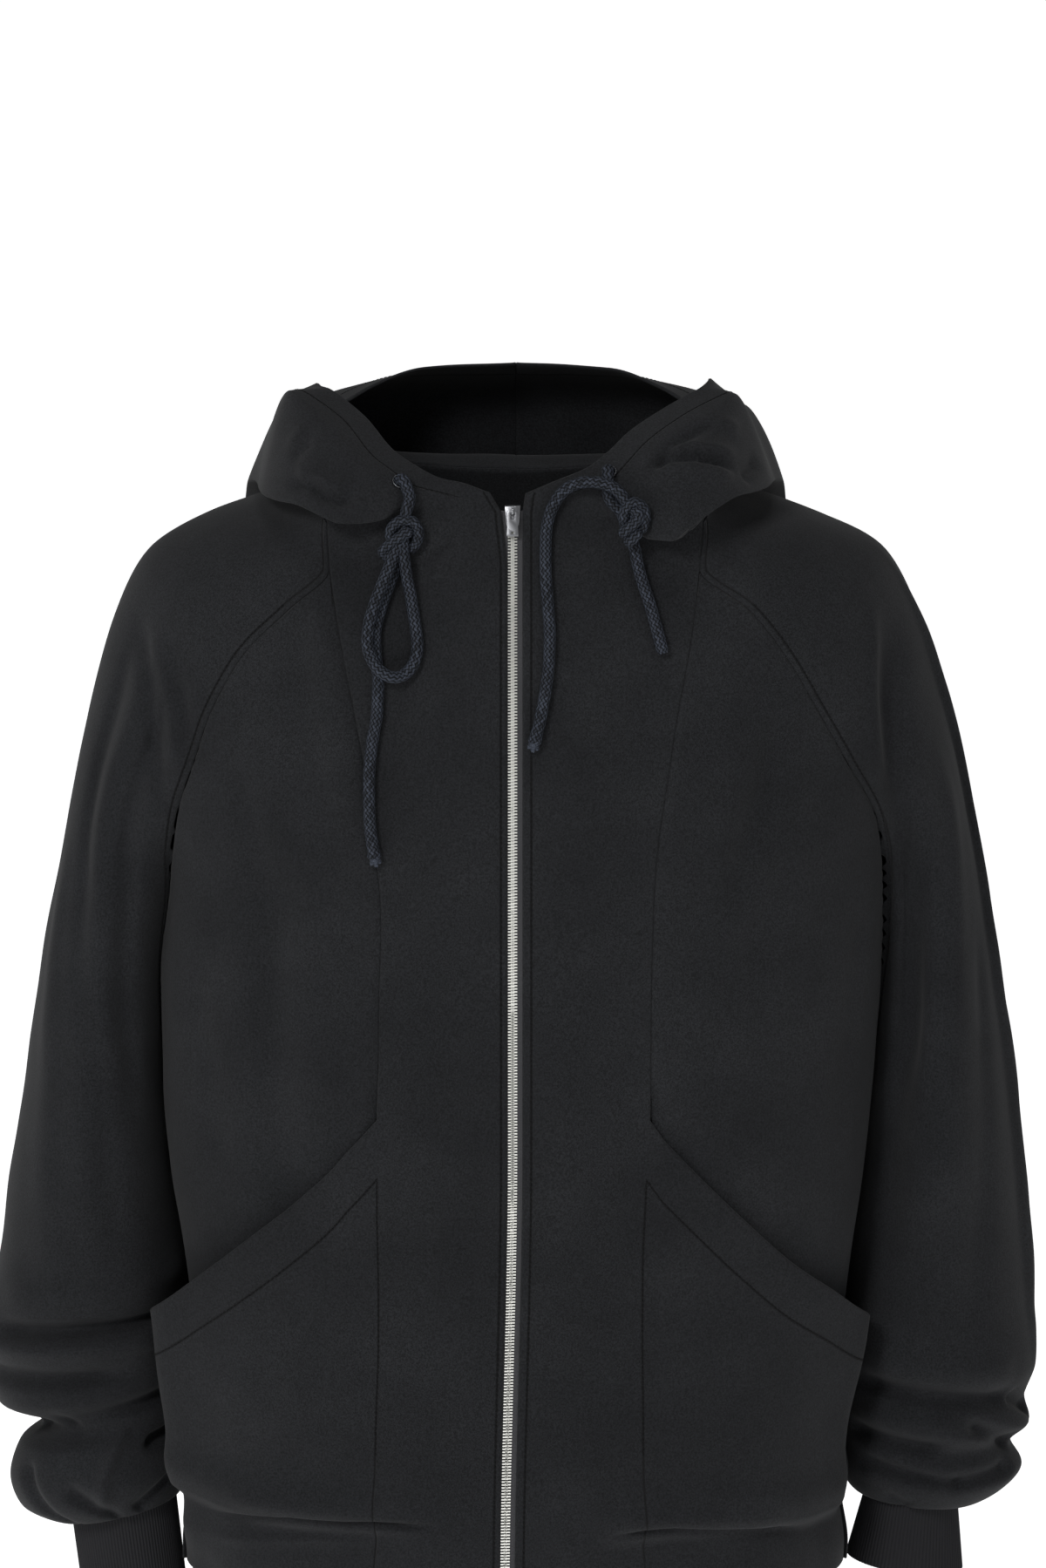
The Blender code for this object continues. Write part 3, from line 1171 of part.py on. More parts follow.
def build_knot(cloth, side, turns=22, bands=13):
    """Overhand knot as one body, its strands standing out as ridges."""
    middle, beads = knot_strands(cloth, side)
    heart = np.array([0.0, -0.0015, 0.0])
    beads = beads - heart
    rings = []
    for band in range(1, bands):
        tilt = math.pi * band / bands
        for k in range(turns):
            turn = 2 * math.pi * k / turns
            rings.append((math.sin(tilt) * math.cos(turn), -math.cos(tilt), math.sin(tilt) * math.sin(turn)))
    ways = np.array([(0.0, -1.0, 0.0)] + rings + [(0.0, 1.0, 0.0)])
    along = ways @ beads.T
    room = (CORD / 2) ** 2 - (beads ** 2).sum(1)[None] + along ** 2
    reach = np.where(room > 0, along + np.sqrt(np.maximum(room, 0)), 0).max(1)
    reach = np.maximum(reach, CORD * 0.42)
    points = ways * reach[:, None] + heart + np.array(middle)
    points = seat(cloth, points, Vector((0, -1, 0)), 2 * SEAM_GAP)
    last = len(points) - 1
    faces = []
    for k in range(turns):
        nxt = (k + 1) % turns
        faces.append([0, 1 + nxt, 1 + k])
        faces.append([last, last - turns + k, last - turns + nxt])
        for band in range(bands - 2):
            a, b = 1 + band * turns + k, 1 + band * turns + nxt
            faces.append([a, b, b + turns, a + turns])
    made = solid("knot_" + side, points, faces, material("knot_" + side, (0.016, 0.017, 0.024), 0.0, 0.85))
    clean_normals(made)
    mesh = made.data
    return BVHTree.FromPolygons([v.co.copy() for v in mesh.vertices], [list(f.vertices) for f in mesh.polygons])


def stretch_route(cloth, name, step=0.0005):
    """Dense points along a stretch, the two drops starting in their eyelets."""
    keys = [above(cloth, x, z, height) for x, z, height in STRETCHES[name]]
    if "drop" in name:
        middle, out = eyelet_frame(cloth, name.split("_")[-1])
        along = keys[0] - middle
        along = (along - out * along.dot(out)).normalized()
        start = [middle + out * 0.0011, middle + out * EXIT_RISE]
        for turn in np.radians((25, 50, 75)):
            rise = EXIT_RISE + EXIT_BEND * math.sin(turn)
            start.append(middle + out * rise + along * EXIT_BEND * (1 - math.cos(turn)))
        keys = start + keys
    keys = np.array([tuple(key) for key in keys])
    run = np.concatenate([[0], np.cumsum(np.linalg.norm(np.diff(keys, axis=0), axis=1))])
    return through(run, keys, np.arange(0, run[-1], step))


def end_clear(point, along, knot):
    """True where a cord's flat end at this point stays clear of a knot."""
    along = Vector(along).normalized()
    across = along.orthogonal().normalized()
    up = along.cross(across)
    tests = [Vector(point)]
    for k in range(12):
        turn = 2 * math.pi * k / 12
        tests.append(tests[0] + (across * math.cos(turn) + up * math.sin(turn)) * CORD / 2)
    for test in tests:
        near, normal, _, gap = knot.find_nearest(test)
        if gap < SEAM_GAP * 1.5 or (test - near).dot(normal) < 0:
            return False
    return True


def build_stretch(cloth, knot, name):
    """One stretch of round braided cord, cut back just clear of its knot."""
    route = stretch_route(cloth, name)
    if "drop" not in name:
        while not end_clear(route[0], route[0] - route[3], knot):
            route = route[1:]
    if "drop" in name or "loop" in name:
        while not end_clear(route[-1], route[-1] - route[-4], knot):
            route = route[:-1]
    run = np.concatenate([[0], np.cumsum(np.linalg.norm(np.diff(route, axis=0), axis=1))])
    count = round(run[-1] / STRETCH_STEP[name])
    stops = np.linspace(0, run[-1], count + 1)
    thick = np.ones(len(stops))
    if name in END_KNOTS:
        # A small knot and a frayed tuft end the cord.
        stops = np.concatenate([stops[:-1], run[-1] - np.array([0.0030, -0.0010, -0.0045, -0.0070])])
        thick = np.concatenate([thick[:-1], (1.0, 1.35, 1.25, 0.8)])
    curve = bpy.data.curves.new(name, "CURVE")
    curve.dimensions = "3D"
    curve.bevel_depth = CORD / 2
    curve.bevel_resolution = 2
    curve.use_fill_caps = True
    spline = curve.splines.new("POLY")
    spline.points.add(len(stops) - 1)
    ends = route[-1] - route[-5]
    ends = ends / np.linalg.norm(ends)
    for point, stop, factor in zip(spline.points, stops, thick):
        place = [np.interp(stop, run, route[:, k]) for k in range(3)]
        place = np.array(place) + ends * max(0.0, stop - run[-1])
        point.co = (*place, 1.0)
        point.radius = factor
    curve.materials.append(material(name, (0.016, 0.017, 0.024), 0.0, 0.85))
    GARMENT.objects.link(bpy.data.objects.new(name, curve))


def build_cord():
    cloth = cloth_tree()
    for side, _ in SIDES:
        build_eyelet(cloth, side)
        knot = build_knot(cloth, side)
        for name in STRETCHES:
            if name.endswith(side):
                build_stretch(cloth, knot, name)


# ------------------------------------------------------------------ build
build_panels()
build_cuffs()
build_hem()
build_zip_strips()
build_slider()
build_pull()
build_cord()
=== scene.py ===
"""A black zip-up hoodie, worn: finished cloth, ribs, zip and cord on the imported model's frame."""

import math

import bmesh
import bpy
import numpy as np
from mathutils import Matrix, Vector, noise
from mathutils.bvhtree import BVHTree


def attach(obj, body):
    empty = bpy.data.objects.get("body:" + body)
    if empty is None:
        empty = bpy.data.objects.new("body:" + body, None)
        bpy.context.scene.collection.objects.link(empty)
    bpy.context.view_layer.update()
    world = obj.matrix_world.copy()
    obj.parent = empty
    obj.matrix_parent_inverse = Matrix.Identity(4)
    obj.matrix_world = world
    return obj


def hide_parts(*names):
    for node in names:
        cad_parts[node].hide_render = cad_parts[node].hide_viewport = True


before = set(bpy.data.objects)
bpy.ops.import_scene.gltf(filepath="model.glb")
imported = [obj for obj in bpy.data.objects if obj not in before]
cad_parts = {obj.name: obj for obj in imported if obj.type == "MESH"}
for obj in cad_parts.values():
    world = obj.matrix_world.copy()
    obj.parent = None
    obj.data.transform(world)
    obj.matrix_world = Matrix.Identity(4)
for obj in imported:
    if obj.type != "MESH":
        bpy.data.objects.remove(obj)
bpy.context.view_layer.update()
SIDES = (("right", -1), ("left", 1))

# ================================================================== stage
# A white studio sweep, lit by one soft box over the camera's left and weak ones from the left and above.
# The floor is painted board: matt, plain, and bright enough to leave no edge behind the garment.
FLOOR_Z = -1.05
AIM = Vector((0.0045, 0.0, -0.193))
DISTANCE = 4.5
LOOK_DOWN = math.radians(10)
LENS = 161.0
FLOOR_HALF = 30.0
FLOOR_GLOW = 0.90
BOXES = (
    # name      place               energy width
    ("key_box", (-1.5, -3.2, 1.9), 80.0, 0.9),
    ("side_box", (-3.0, -1.2, 0.7), 11.0, 0.9),
    ("top_box", (0.1, -0.5, 2.3), 20.0, 1.0),
)


def paint(code):
    """Linear colour of an sRGB hex code."""
    parts = [int(code[k:k + 2], 16) / 255 for k in (0, 2, 4)]
    return tuple(p / 12.92 if p <= 0.04045 else ((p + 0.055) / 1.055) ** 2.4 for p in parts) + (1.0,)


def add(tree, kind, settings=None, **more):
    """Adds a node with its settings, and a value, a socket or a node (its first output) for each input."""
    node = tree.nodes.new(kind)
    for key, value in {**(settings or {}), **more}.items():
        if isinstance(value, (bpy.types.Node, bpy.types.NodeSocket)):
            tree.links.new(getattr(value, "outputs", [value])[0], node.inputs[key])
        elif isinstance(key, str) and hasattr(node, key):
            setattr(node, key, value)
        else:
            node.inputs[key].default_value = value
    return node


def put(name, data):
    """Object of this data, linked to the scene."""
    made = bpy.data.objects.new(name, data)
    bpy.context.scene.collection.objects.link(made)
    return made


def new_material(name, code, roughness, metallic=0.0):
    """A Principled material of one colour, with its tree and shader."""
    made = bpy.data.materials.new(name)
    made.use_nodes = True
    shader = made.node_tree.nodes["Principled BSDF"]
    shader.inputs["Base Color"].default_value = paint(code)
    shader.inputs["Roughness"].default_value = roughness
    shader.inputs["Metallic"].default_value = metallic
    return made, made.node_tree, shader


def build_stage():
    floor = bpy.data.meshes.new("floor")
    corners = [(FLOOR_HALF * x, FLOOR_HALF * y, FLOOR_Z) for x, y in ((-1, -1), (1, -1), (1, 1), (-1, 1))]
    floor.from_pydata(corners, [], [(0, 1, 2, 3)])
    board, _, shader = new_material("painted_board", "FFFFFF", 0.9)
    shader.inputs["Emission Color"].default_value = paint("FFFFFF")
    shader.inputs["Emission Strength"].default_value = FLOOR_GLOW
    floor.materials.append(board)
    made = put("floor", floor)
    world = bpy.data.worlds.new("studio_air")
    world.use_nodes = True
    air = world.node_tree
    air.nodes["Background"].inputs["Color"].default_value = (1.0, 1.0, 1.0, 1.0)
    # The studio's white wall stands all round; above it the room is dim.
    level = add(air, "ShaderNodeSeparateXYZ", Vector=add(air, "ShaderNodeTexCoord").outputs["Generated"])
    wall = add(air, "ShaderNodeMapRange", {"From Min": 0.10, "From Max": 0.30, "To Min": 1.0, "To Max": 0.08},
               Value=level.outputs["Z"])
    air.links.new(wall.outputs["Result"], air.nodes["Background"].inputs["Strength"])
    bpy.context.scene.world = world
    for name, place, energy, width in BOXES:
        light = bpy.data.lights.new(name, "AREA")
        light.energy = energy
        light.size = width
        lamp = put(name, light)
        lamp.location = place
        lamp.rotation_euler = (Vector((0, 0, -0.3)) - Vector(place)).to_track_quat("-Z", "Y").to_euler()


def build_camera():
    lens = bpy.data.cameras.new("camera")
    lens.sensor_fit = "VERTICAL"
    lens.sensor_height = 36.0
    lens.lens = LENS
    camera = put("camera", lens)
    away = Vector((0.0, -math.cos(LOOK_DOWN), math.sin(LOOK_DOWN)))
    camera.location = AIM + away * DISTANCE
    camera.rotation_euler = (-away).to_track_quat("-Z", "Y").to_euler()
    bpy.context.scene.camera = camera


build_stage()
build_camera()
bpy.context.scene.view_settings.view_transform = "Standard"

# ================================================================== body cloth
# The body is heavy cotton fleece, brushed inside and smooth outside, cut as two fronts, two side
# fronts and one back. Every panel reads one block: sections down the body, its soft folds and seams.
CLOTH = 0.0020          # wall of the sweatshirt cloth
SEAM_GAP = 0.0003       # clearance between sewn neighbours
SHAPE_POWER = 2.5       # roundness of the body's plan section
BODY_AXIS_Y = -0.015    # depth of the widest line of the body


def table(text):
    """Array of the rows of numbers under a line of column names."""
    return np.array([line.split() for line in text.splitlines()[1:]], float)


# Body sections, top to hem: half widths at the two sides, depth of the front and of the back.
BODY = table("""z right left front back
      .02  .238  .238 -.093 .084
        0  .238  .238 -.098 .089
     -.03  .238  .238 -.105 .101
     -.07  .238  .238 -.117  .12
     -.12  .238  .238 -.127 .134
     -.18  .234 .2375 -.134 .142
     -.25 .2235 .2367 -.138 .142
     -.31  .228 .2345 -.139 .137
     -.38 .2275   .23 -.139 .133
     -.44 .2225  .224 -.139 .133
      -.5 .2125  .216  -.14 .136
    -.545  .208  .211 -.142 .139
      -.6 .2075  .207 -.144 .142
     -.65 .2095 .2085 -.145 .143
     -.69  .215  .214 -.143 .141
     -.72  .215 .2115  -.14 .138
    -.752 .2135 .2085 -.137 .135""")

# Rows of the seams, from the neck corner to the hem. Angles go round the body from the zip.
ROWS = table("""row z princess_r princess_l raglan_r raglan_l back_deg back_z
     0   -.01 24.6 24.3 24.6 24.3 164   .003
     1  -.022 24.4 24.1 24.4 24.1 161  -.015
     2 -.0401 24.1 23.7 24.1 23.7 157  -.035
     3  -.065   23 22.9 31.7 32.9 150  -.062
     4 -.0926 21.7 21.8   41 40.3 143  -.092
     5   -.13 19.8   20 49.6 48.9 135   -.13
     6  -.167 18.4 18.6 56.8   59 127  -.168
     7  -.209 17.8 17.1 68.2   74 118   -.21
     8   -.24 17.3 16.5 77.5   81 110  -.245
     9  -.285 17.1 16.3   84   86 102   -.29
    10  -.335 17.2 16.4 88.5 89.5  96  -.338
    11  -.384 17.6 16.6   92   92  92  -.384
    12   -.42 17.9 16.4   92   92  92   -.42
    13   -.46 18.4 16.4   92   92  92   -.46
    14    -.5   19 16.8   92   92  92    -.5
    15   -.54 19.6 17.3   92   92  92   -.54
    16   -.58 20.1 17.8   92   92  92   -.58
    17   -.61 20.3   18   92   92  92   -.61
    18  -.632 20.4 18.1   92   92  92  -.632
    19  -.646 20.4 18.2   92   92  92  -.646
    20  -.654 20.4 18.2   92   92  92  -.654
    21  -.672 20.4 18.2   92   92  92  -.672
    22 -.7015 20.4 18.2   92   92  92 -.7015""")

UNDERARM_ROW = 11
LEVEL_ROW = 17          # below this row the pocket and the side front share their heights
LAST_ROW = 22

# Soft folds of the body: a line from (angle, height) to (angle, height), its width and its height.
# A negative height is a trough. Angles below 90 are in front and above 90 behind.
BODY_FOLDS = table("""side deg0 z0 deg1 z1 width height
    -1   38 -.215   37 -.455 .022  -.005
    -1 26.5  -.06 22.5  -.19  .01  .0035
    -1   60   -.3   52  -.42  .02 -.0025
     1   42 -.225   33  -.29 .013  -.003
     1   29   -.1   27  -.33 .014   .002
     1   66  -.26   60   -.4  .02  -.003
    -1  120  -.33  128  -.56 .022  -.005
     1  118   -.3  131  -.52 .022  -.005
    -1  150  -.36  158   -.6 .026  -.004
     1  148   -.4  152  -.62 .026 -.0045
    -1  168  -.23  172  -.43 .026   .003
    -1  104  -.56  106  -.67  .01   .004
     1  100  -.56  101  -.67  .01   .006
     1  108  -.57  109  -.67  .01  -.004""")

# The body blouses over a cross fold above the hem: height of the fold and how far the cloth tucks in.
TUCK = table("""deg z_right z_left depth_right depth_left
      0 -.648 -.654     0     0
      7 -.648 -.654     0     0
     14 -.648 -.654  .002  .004
     24 -.648 -.652  .007 .0075
     45 -.649 -.654  .009  .009
     70 -.645 -.658  .009 .0085
     92  -.64 -.655 .0035 .0035
    130  -.65  -.65  .008  .008
    180 -.652 -.652 .0085 .0085""")

EDGE = {"right": -0.0056, "left": 0.0043}      # x of each front's edge beside the zip
ZIP_DRIFT = -0.0050     # how far the zip drifts to the wearer's right low down
BODY_ROUND = 0.26       # radius of the body by which its folds are laid out
FINE_ROWS = 10          # rows of fine cloth for each row of the pattern table
FINE_FRONT = 64         # columns of fine cloth across a front
FINE_ROUND = 9          # columns of fine cloth for each sixteenth of a sleeve
ROUND_SLEEVE = 16       # stations of the neck seam over a sleeve
HALF_BACK = 7           # and along half the back


def smooth(keys, values, at):
    """Reads a table as a smooth curve that never overshoots its own rows."""
    keys = np.asarray(keys, float)
    values = np.asarray(values, float)
    step = np.diff(keys)
    rise = np.diff(values) / step
    slope = np.zeros(len(keys))
    slope[0] = rise[0]
    slope[-1] = rise[-1]
    for i in range(1, len(keys) - 1):
        if rise[i - 1] * rise[i] > 0:
            w1 = 2 * step[i] + step[i - 1]
            w2 = step[i] + 2 * step[i - 1]
            slope[i] = (w1 + w2) / (w1 / rise[i - 1] + w2 / rise[i])
    at = np.clip(np.asarray(at, float), keys[0], keys[-1])
    k = np.clip(np.searchsorted(keys, at, side="right") - 1, 0, len(keys) - 2)
    t = (at - keys[k]) / step[k]
    low = (2 * t**3 - 3 * t**2 + 1) * values[k] + (t**3 - 2 * t**2 + t) * step[k] * slope[k]
    high = (3 * t**2 - 2 * t**3) * values[k + 1] + (t**3 - t**2) * step[k] * slope[k + 1]
    return low + high


def read(rows, column, at):
    """Value of one column of a table where its first column is `at`."""
    return smooth(rows[:, 0], rows[:, column], at)


def ease(t):
    """0 to 1 with a soft start and end."""
    t = np.clip(t, 0.0, 1.0)
    return t * t * (3 - 2 * t)


def fold_height(u, v, u0, v0, u1, v1, width, height):
    """Height at (u, v) of a soft fold along the line from (u0, v0) to (u1, v1), all in metres."""
    du, dv = u1 - u0, v1 - v0
    long = math.hypot(du, dv)
    along = ((u - u0) * du + (v - v0) * dv) / long**2
    off = ((u - u0) * dv - (v - v0) * du) / long
    ends = ease(along / 0.22 + 0.35) * ease((1 - along) / 0.22 + 0.35)
    return height * ends * np.exp(-((off / width) ** 2))


def body_point(side, degrees, z, out=0.0):
    """Point of the body's outer surface at an angle from the zip, moved outward by `out`."""
    degrees, z, out = np.broadcast_arrays(np.asarray(degrees, float), np.asarray(z, float),
                                          np.asarray(out, float))
    down = -BODY[:, 0]
    half = smooth(down, BODY[:, 1 if side < 0 else 2], -z)
    front = smooth(down, BODY[:, 3], -z)
    back = smooth(down, BODY[:, 4], -z)
    turn = np.radians(degrees)
    depth = np.where(degrees < 90, front, back) - BODY_AXIS_Y
    ring = 2 / SHAPE_POWER
    x = half * np.abs(np.sin(turn)) ** ring
    y = BODY_AXIS_Y + depth * np.abs(np.cos(turn)) ** ring
    column = 1 if side < 0 else 2
    fold_z = read(TUCK, column, degrees)
    tuck = read(TUCK, column + 2, degrees)
    out = out - tuck * ease((fold_z + 0.004 - z) / 0.012)
    out = out + 0.5 * tuck * np.exp(-(((z - fold_z - 0.016) / 0.013) ** 2))
    for fold_side, deg0, z0, deg1, z1, width, height in BODY_FOLDS:
        if fold_side == side:
            out = out + fold_height(BODY_ROUND * turn, z, BODY_ROUND * math.radians(deg0), z0,
                                    BODY_ROUND * math.radians(deg1), z1, width, height)
    return np.stack([side * (x + out * np.sin(turn)), y - out * np.cos(turn), z + 0 * x], axis=-1)


def angle_at(side, x, z):
    """Angle from the zip of a point of the front at a distance x from the centre plane."""
    half = smooth(-BODY[:, 0], BODY[:, 1 if side < 0 else 2], -np.asarray(z, float))
    across = np.clip(side * np.asarray(x, float) / half, 0, 1)
    return np.degrees(np.arcsin(across ** (SHAPE_POWER / 2)))


def front_y(x, z):
    """Depth of the body's front surface at (x, z)."""
    side = -1 if x < 0 else 1
    return float(body_point(side, angle_at(side, x, z), z)[1])


def zip_shift(z):
    """Sideways drift of the zip toward the hem."""
    return ZIP_DRIFT * ease((-0.40 - np.asarray(z, float)) / 0.30)


def front_edge(name, z):
    """x of the free edge of a front panel beside the zip."""
    z = np.asarray(z, float)
    widen = -0.0034 * ease((z + 0.040) / 0.040) if name == "right" else 0.0
    return EDGE[name] + zip_shift(z) + widen


def row_value(column, row):
    """One column of the seams' table at a row, whole or between rows."""
    return read(ROWS, column, row)


def chest_grid(name, side, rows, columns):
    """Centre front: from the zip edge to the princess seam, rows from the neck to the hem."""
    grid = np.zeros((len(rows), columns + 1, 3))
    across = np.linspace(0, 1, columns + 1)
    for i, row in enumerate(rows):
        z_seam = float(row_value(1, row))
        z_zip = z_seam + 0.008 * (1 - min(row, 2.0) / 2)
        z = z_zip + (z_seam - z_zip) * across
        x_edge = front_edge(name, z_zip)
        seam = float(row_value(2 if side < 0 else 3, row))
        x_seam = body_point(side, seam, z_seam)[0]
        x = x_edge + (x_seam - x_edge) * across
        angle = angle_at(side, x, z)
        angle[-1] = seam
        points = body_point(side, angle, z)
        points[:, 0] += np.where(across < 1e-9, x_edge - points[0, 0], 0.0)
        grid[i] = points
    return grid


def back_row(side, row, across):
    """Half a row of the back, from the raglan or side seam (0) to the centre (1)."""
    edge = float(row_value(6, row))
    z_edge = float(row_value(7, row))
    z_centre = z_edge - 0.005 * (1 - min(row, 1.0))
    across = np.asarray(across, float)
    angle = edge + (180.0 - edge) * across
    points = body_point(side, angle, z_edge + (z_centre - z_edge) * ease(across))
    points[..., 0] = np.where(across > 1 - 1e-9, 0.0, points[..., 0])
    return points


def back_grid(rows, columns):
    """The whole back, from the wearer's right to the left."""
    across = np.linspace(0, 1, columns + 1)
    right = np.array([back_row(-1, r, across) for r in rows])
    left = np.array([back_row(1, r, across) for r in rows])
    left[:, -1] = right[:, -1] = (left[:, -1] + right[:, -1]) / 2
    return np.concatenate([right, left[:, -2::-1]], axis=1)


# ================================================================== pocket fronts and side fronts
# Each pocket is cut in one with its front and laid over the side front; the mouth has a wide turned
# band and gapes at the side seam, where the pocket is caught.

# Pocket mouth: its height round the body, and how far the pocket stands out there.
MOUTH = table("""deg z_right z_left gape_right gape_left
    16 -.382 -.385     0     0
    21 -.398 -.405 .0005 .0005
    26 -.418 -.423 .0015  .001
    35 -.443 -.451 .0035 .0025
    48 -.472 -.483  .008  .006
    62 -.498 -.506  .015   .01
    76 -.523 -.527  .027 .0165
    83  -.53 -.533  .017  .011
    89 -.535 -.537     0     0""")

UNDER_POCKET = 0.0036   # the side front lies this far behind the body line under the pocket
MOUTH_FADE = {"right": 0.150, "left": 0.080}  # height over which the pocket closes below its mouth
POCKET_SHUT = 0.035     # height above the hem over which it lies flat again


def side_grid(side, rows, columns):
    """Side front: from the princess seam to the raglan and side seams; it dips under the pocket."""
    across = np.linspace(0, 1, columns + 1)
    grid = np.zeros((len(rows), columns + 1, 3))
    for i, row in enumerate(rows):
        z = float(row_value(1, row))
        start = float(row_value(2 if side < 0 else 3, row))
        end = float(row_value(4 if side < 0 else 5, row))
        angle = start + (end - start) * across
        # Under the pocket its edge stands a little back from the princess line.
        angle[0] += 0.4 if row >= UNDERARM_ROW else 0.0
        mouth = read(MOUTH, 1 if side < 0 else 2, angle)
        dip = UNDER_POCKET * ease((mouth + 0.036 - z) / 0.030) * (1 - ease((angle - 74) / 12))
        dip = dip * (row > UNDERARM_ROW - 1)
        grid[i] = body_point(side, angle, z, -dip)
    return grid


def pocket_grid(name, side, rows, columns):
    """Pocket front: below its mouth, from the princess line to just short of the side seam."""
    mouth_column = 1 if side < 0 else 2
    across = np.linspace(0, 1, columns + 1)
    level = ROWS[LEVEL_ROW, 1]
    grid = np.zeros((len(rows), columns + 1, 3))
    for i, row in enumerate(rows):
        start = float(row_value(2 if side < 0 else 3, row))
        angle = start + (92.0 - start) * across
        angle[-1] = 89.0
        mouth = read(MOUTH, mouth_column, angle)
        gape = read(MOUTH, mouth_column + 2, angle)
        mouth = np.where(across < 1e-9, ROWS[UNDERARM_ROW, 1], mouth)
        row_z = float(row_value(1, row))
        down = (row_z - ROWS[UNDERARM_ROW, 1]) / (level - ROWS[UNDERARM_ROW, 1])
        z = np.where(row_z < level, row_z, mouth + (level - mouth) * down)
        out = 0.0004 * ease(across / 0.1) + 0.0033 * ease((angle - 68) / 12)
        shut = ease((z - ROWS[LAST_ROW, 1]) / POCKET_SHUT)
        out = out + gape * shut * np.exp(-(((mouth - z) / MOUTH_FADE[name]) ** 2))
        grid[i] = body_point(side, angle, z, out)
    return grid


# ================================================================== sleeves
# Raglan sleeves, each one wide piece from the neck to the cuff with a seam along the inner arm. They
# are too long for the arm, so they drop in deep slanting creases above the cuff.

# Sleeve sections: the outer point, how round the ring has become, its half depth, and below the
# underarm the inner point. Rows 0 to 11 start and end on the raglan seams.
SLEEVE = {
    "right": table("""row out_x out_y out_z round half in_x in_y in_z
     0  .112    0   .01   0     0     0    0     0
     1  .134    0  .003   0     0     0    0     0
     2   .16    0 -.006   0     0     0    0     0
     3  .197    0 -.018   0 -.004     0    0     0
     4  .232    0 -.038   0 -.008     0    0     0
     5  .256    0 -.082 .08 -.008     0    0     0
     6   .27    0  -.13  .2 -.001     0    0     0
     7  .283    0  -.19 .36  .012     0    0     0
     8  .291    0 -.235 .52  .026     0    0     0
     9  .303 .003  -.29  .7  .045     0    0     0
    10  .311 .006  -.34 .87   .06     0    0     0
    11  .316  .01 -.375   1  .073     0    0     0
    12  .322 .012 -.415   1  .075 .2262    0  -.42
    13  .329 .012 -.455   1  .072 .2212 .004  -.46
    14  .335 .012 -.498   1  .068 .2146 .008   -.5
    15  .342 .012 -.535   1  .066 .2118  .01  -.53
    16  .345 .012 -.556   1  .067 .2112  .01 -.548
    17 .3445 .012  -.58   1  .064 .2115  .01 -.568
    18  .338 .012 -.602   1  .062  .213  .01  -.59
    19 .3095 .012 -.616   1  .053  .215  .01 -.606
    20  .325 .012  -.63   1  .058  .214  .01  -.62
    21 .3315 .012 -.652   1  .059  .214  .01  -.64
    22  .324 .012 -.672   1  .052 .2165  .01 -.656
    23    .3 .012 -.682   1  .041 .2195  .01 -.664
    24 .2925 .012 -.676   1  .035 .2217  .01 -.664"""),
    "left": table("""row out_x out_y out_z round half in_x in_y in_z
     0  .112    0   .01   0     0     0    0     0
     1  .134    0  .003   0     0     0    0     0
     2   .16    0 -.006   0     0     0    0     0
     3  .197    0 -.019   0 -.004     0    0     0
     4  .233    0 -.038   0 -.008     0    0     0
     5  .257    0 -.082 .08 -.008     0    0     0
     6  .271    0  -.13  .2 -.002     0    0     0
     7  .285    0  -.19 .36   .01     0    0     0
     8  .294 .002 -.235 .52  .022     0    0     0
     9  .304 .006  -.29  .7  .038     0    0     0
    10  .312  .01  -.34 .87  .054     0    0     0
    11  .318 .014 -.375   1  .068     0    0     0
    12  .322 .016 -.415   1   .07 .2285 .004  -.42
    13  .327 .016 -.455   1  .069 .2236 .008  -.46
    14  .331 .016 -.498   1  .066  .218 .012   -.5
    15  .334 .016 -.535   1  .064 .2145 .014 -.534
    16  .337 .016 -.556   1  .063  .213 .014 -.553
    17 .3385 .016 -.577   1  .062 .2122 .014 -.574
    18  .333 .016   -.6   1  .058 .2128 .014 -.596
    19 .3365 .016 -.616   1   .06  .213 .014 -.612
    20  .324 .016  -.63   1  .052  .213 .014 -.626
    21 .3315 .016 -.646   1  .054  .212 .014 -.641
    22 .3185 .016 -.662   1  .047  .215 .014 -.655
    23  .299 .016 -.671   1  .038  .223 .014 -.663
    24   .29 .016 -.666   1  .033 .2283 .014  -.66"""),
}

CUFF_ROW = 24
UNDERARM_CLEAR = 0.00002    # the sleeve is sewn close to the body
SLEEVE_ROUND = 0.40     # length round a sleeve by which its creases are laid out

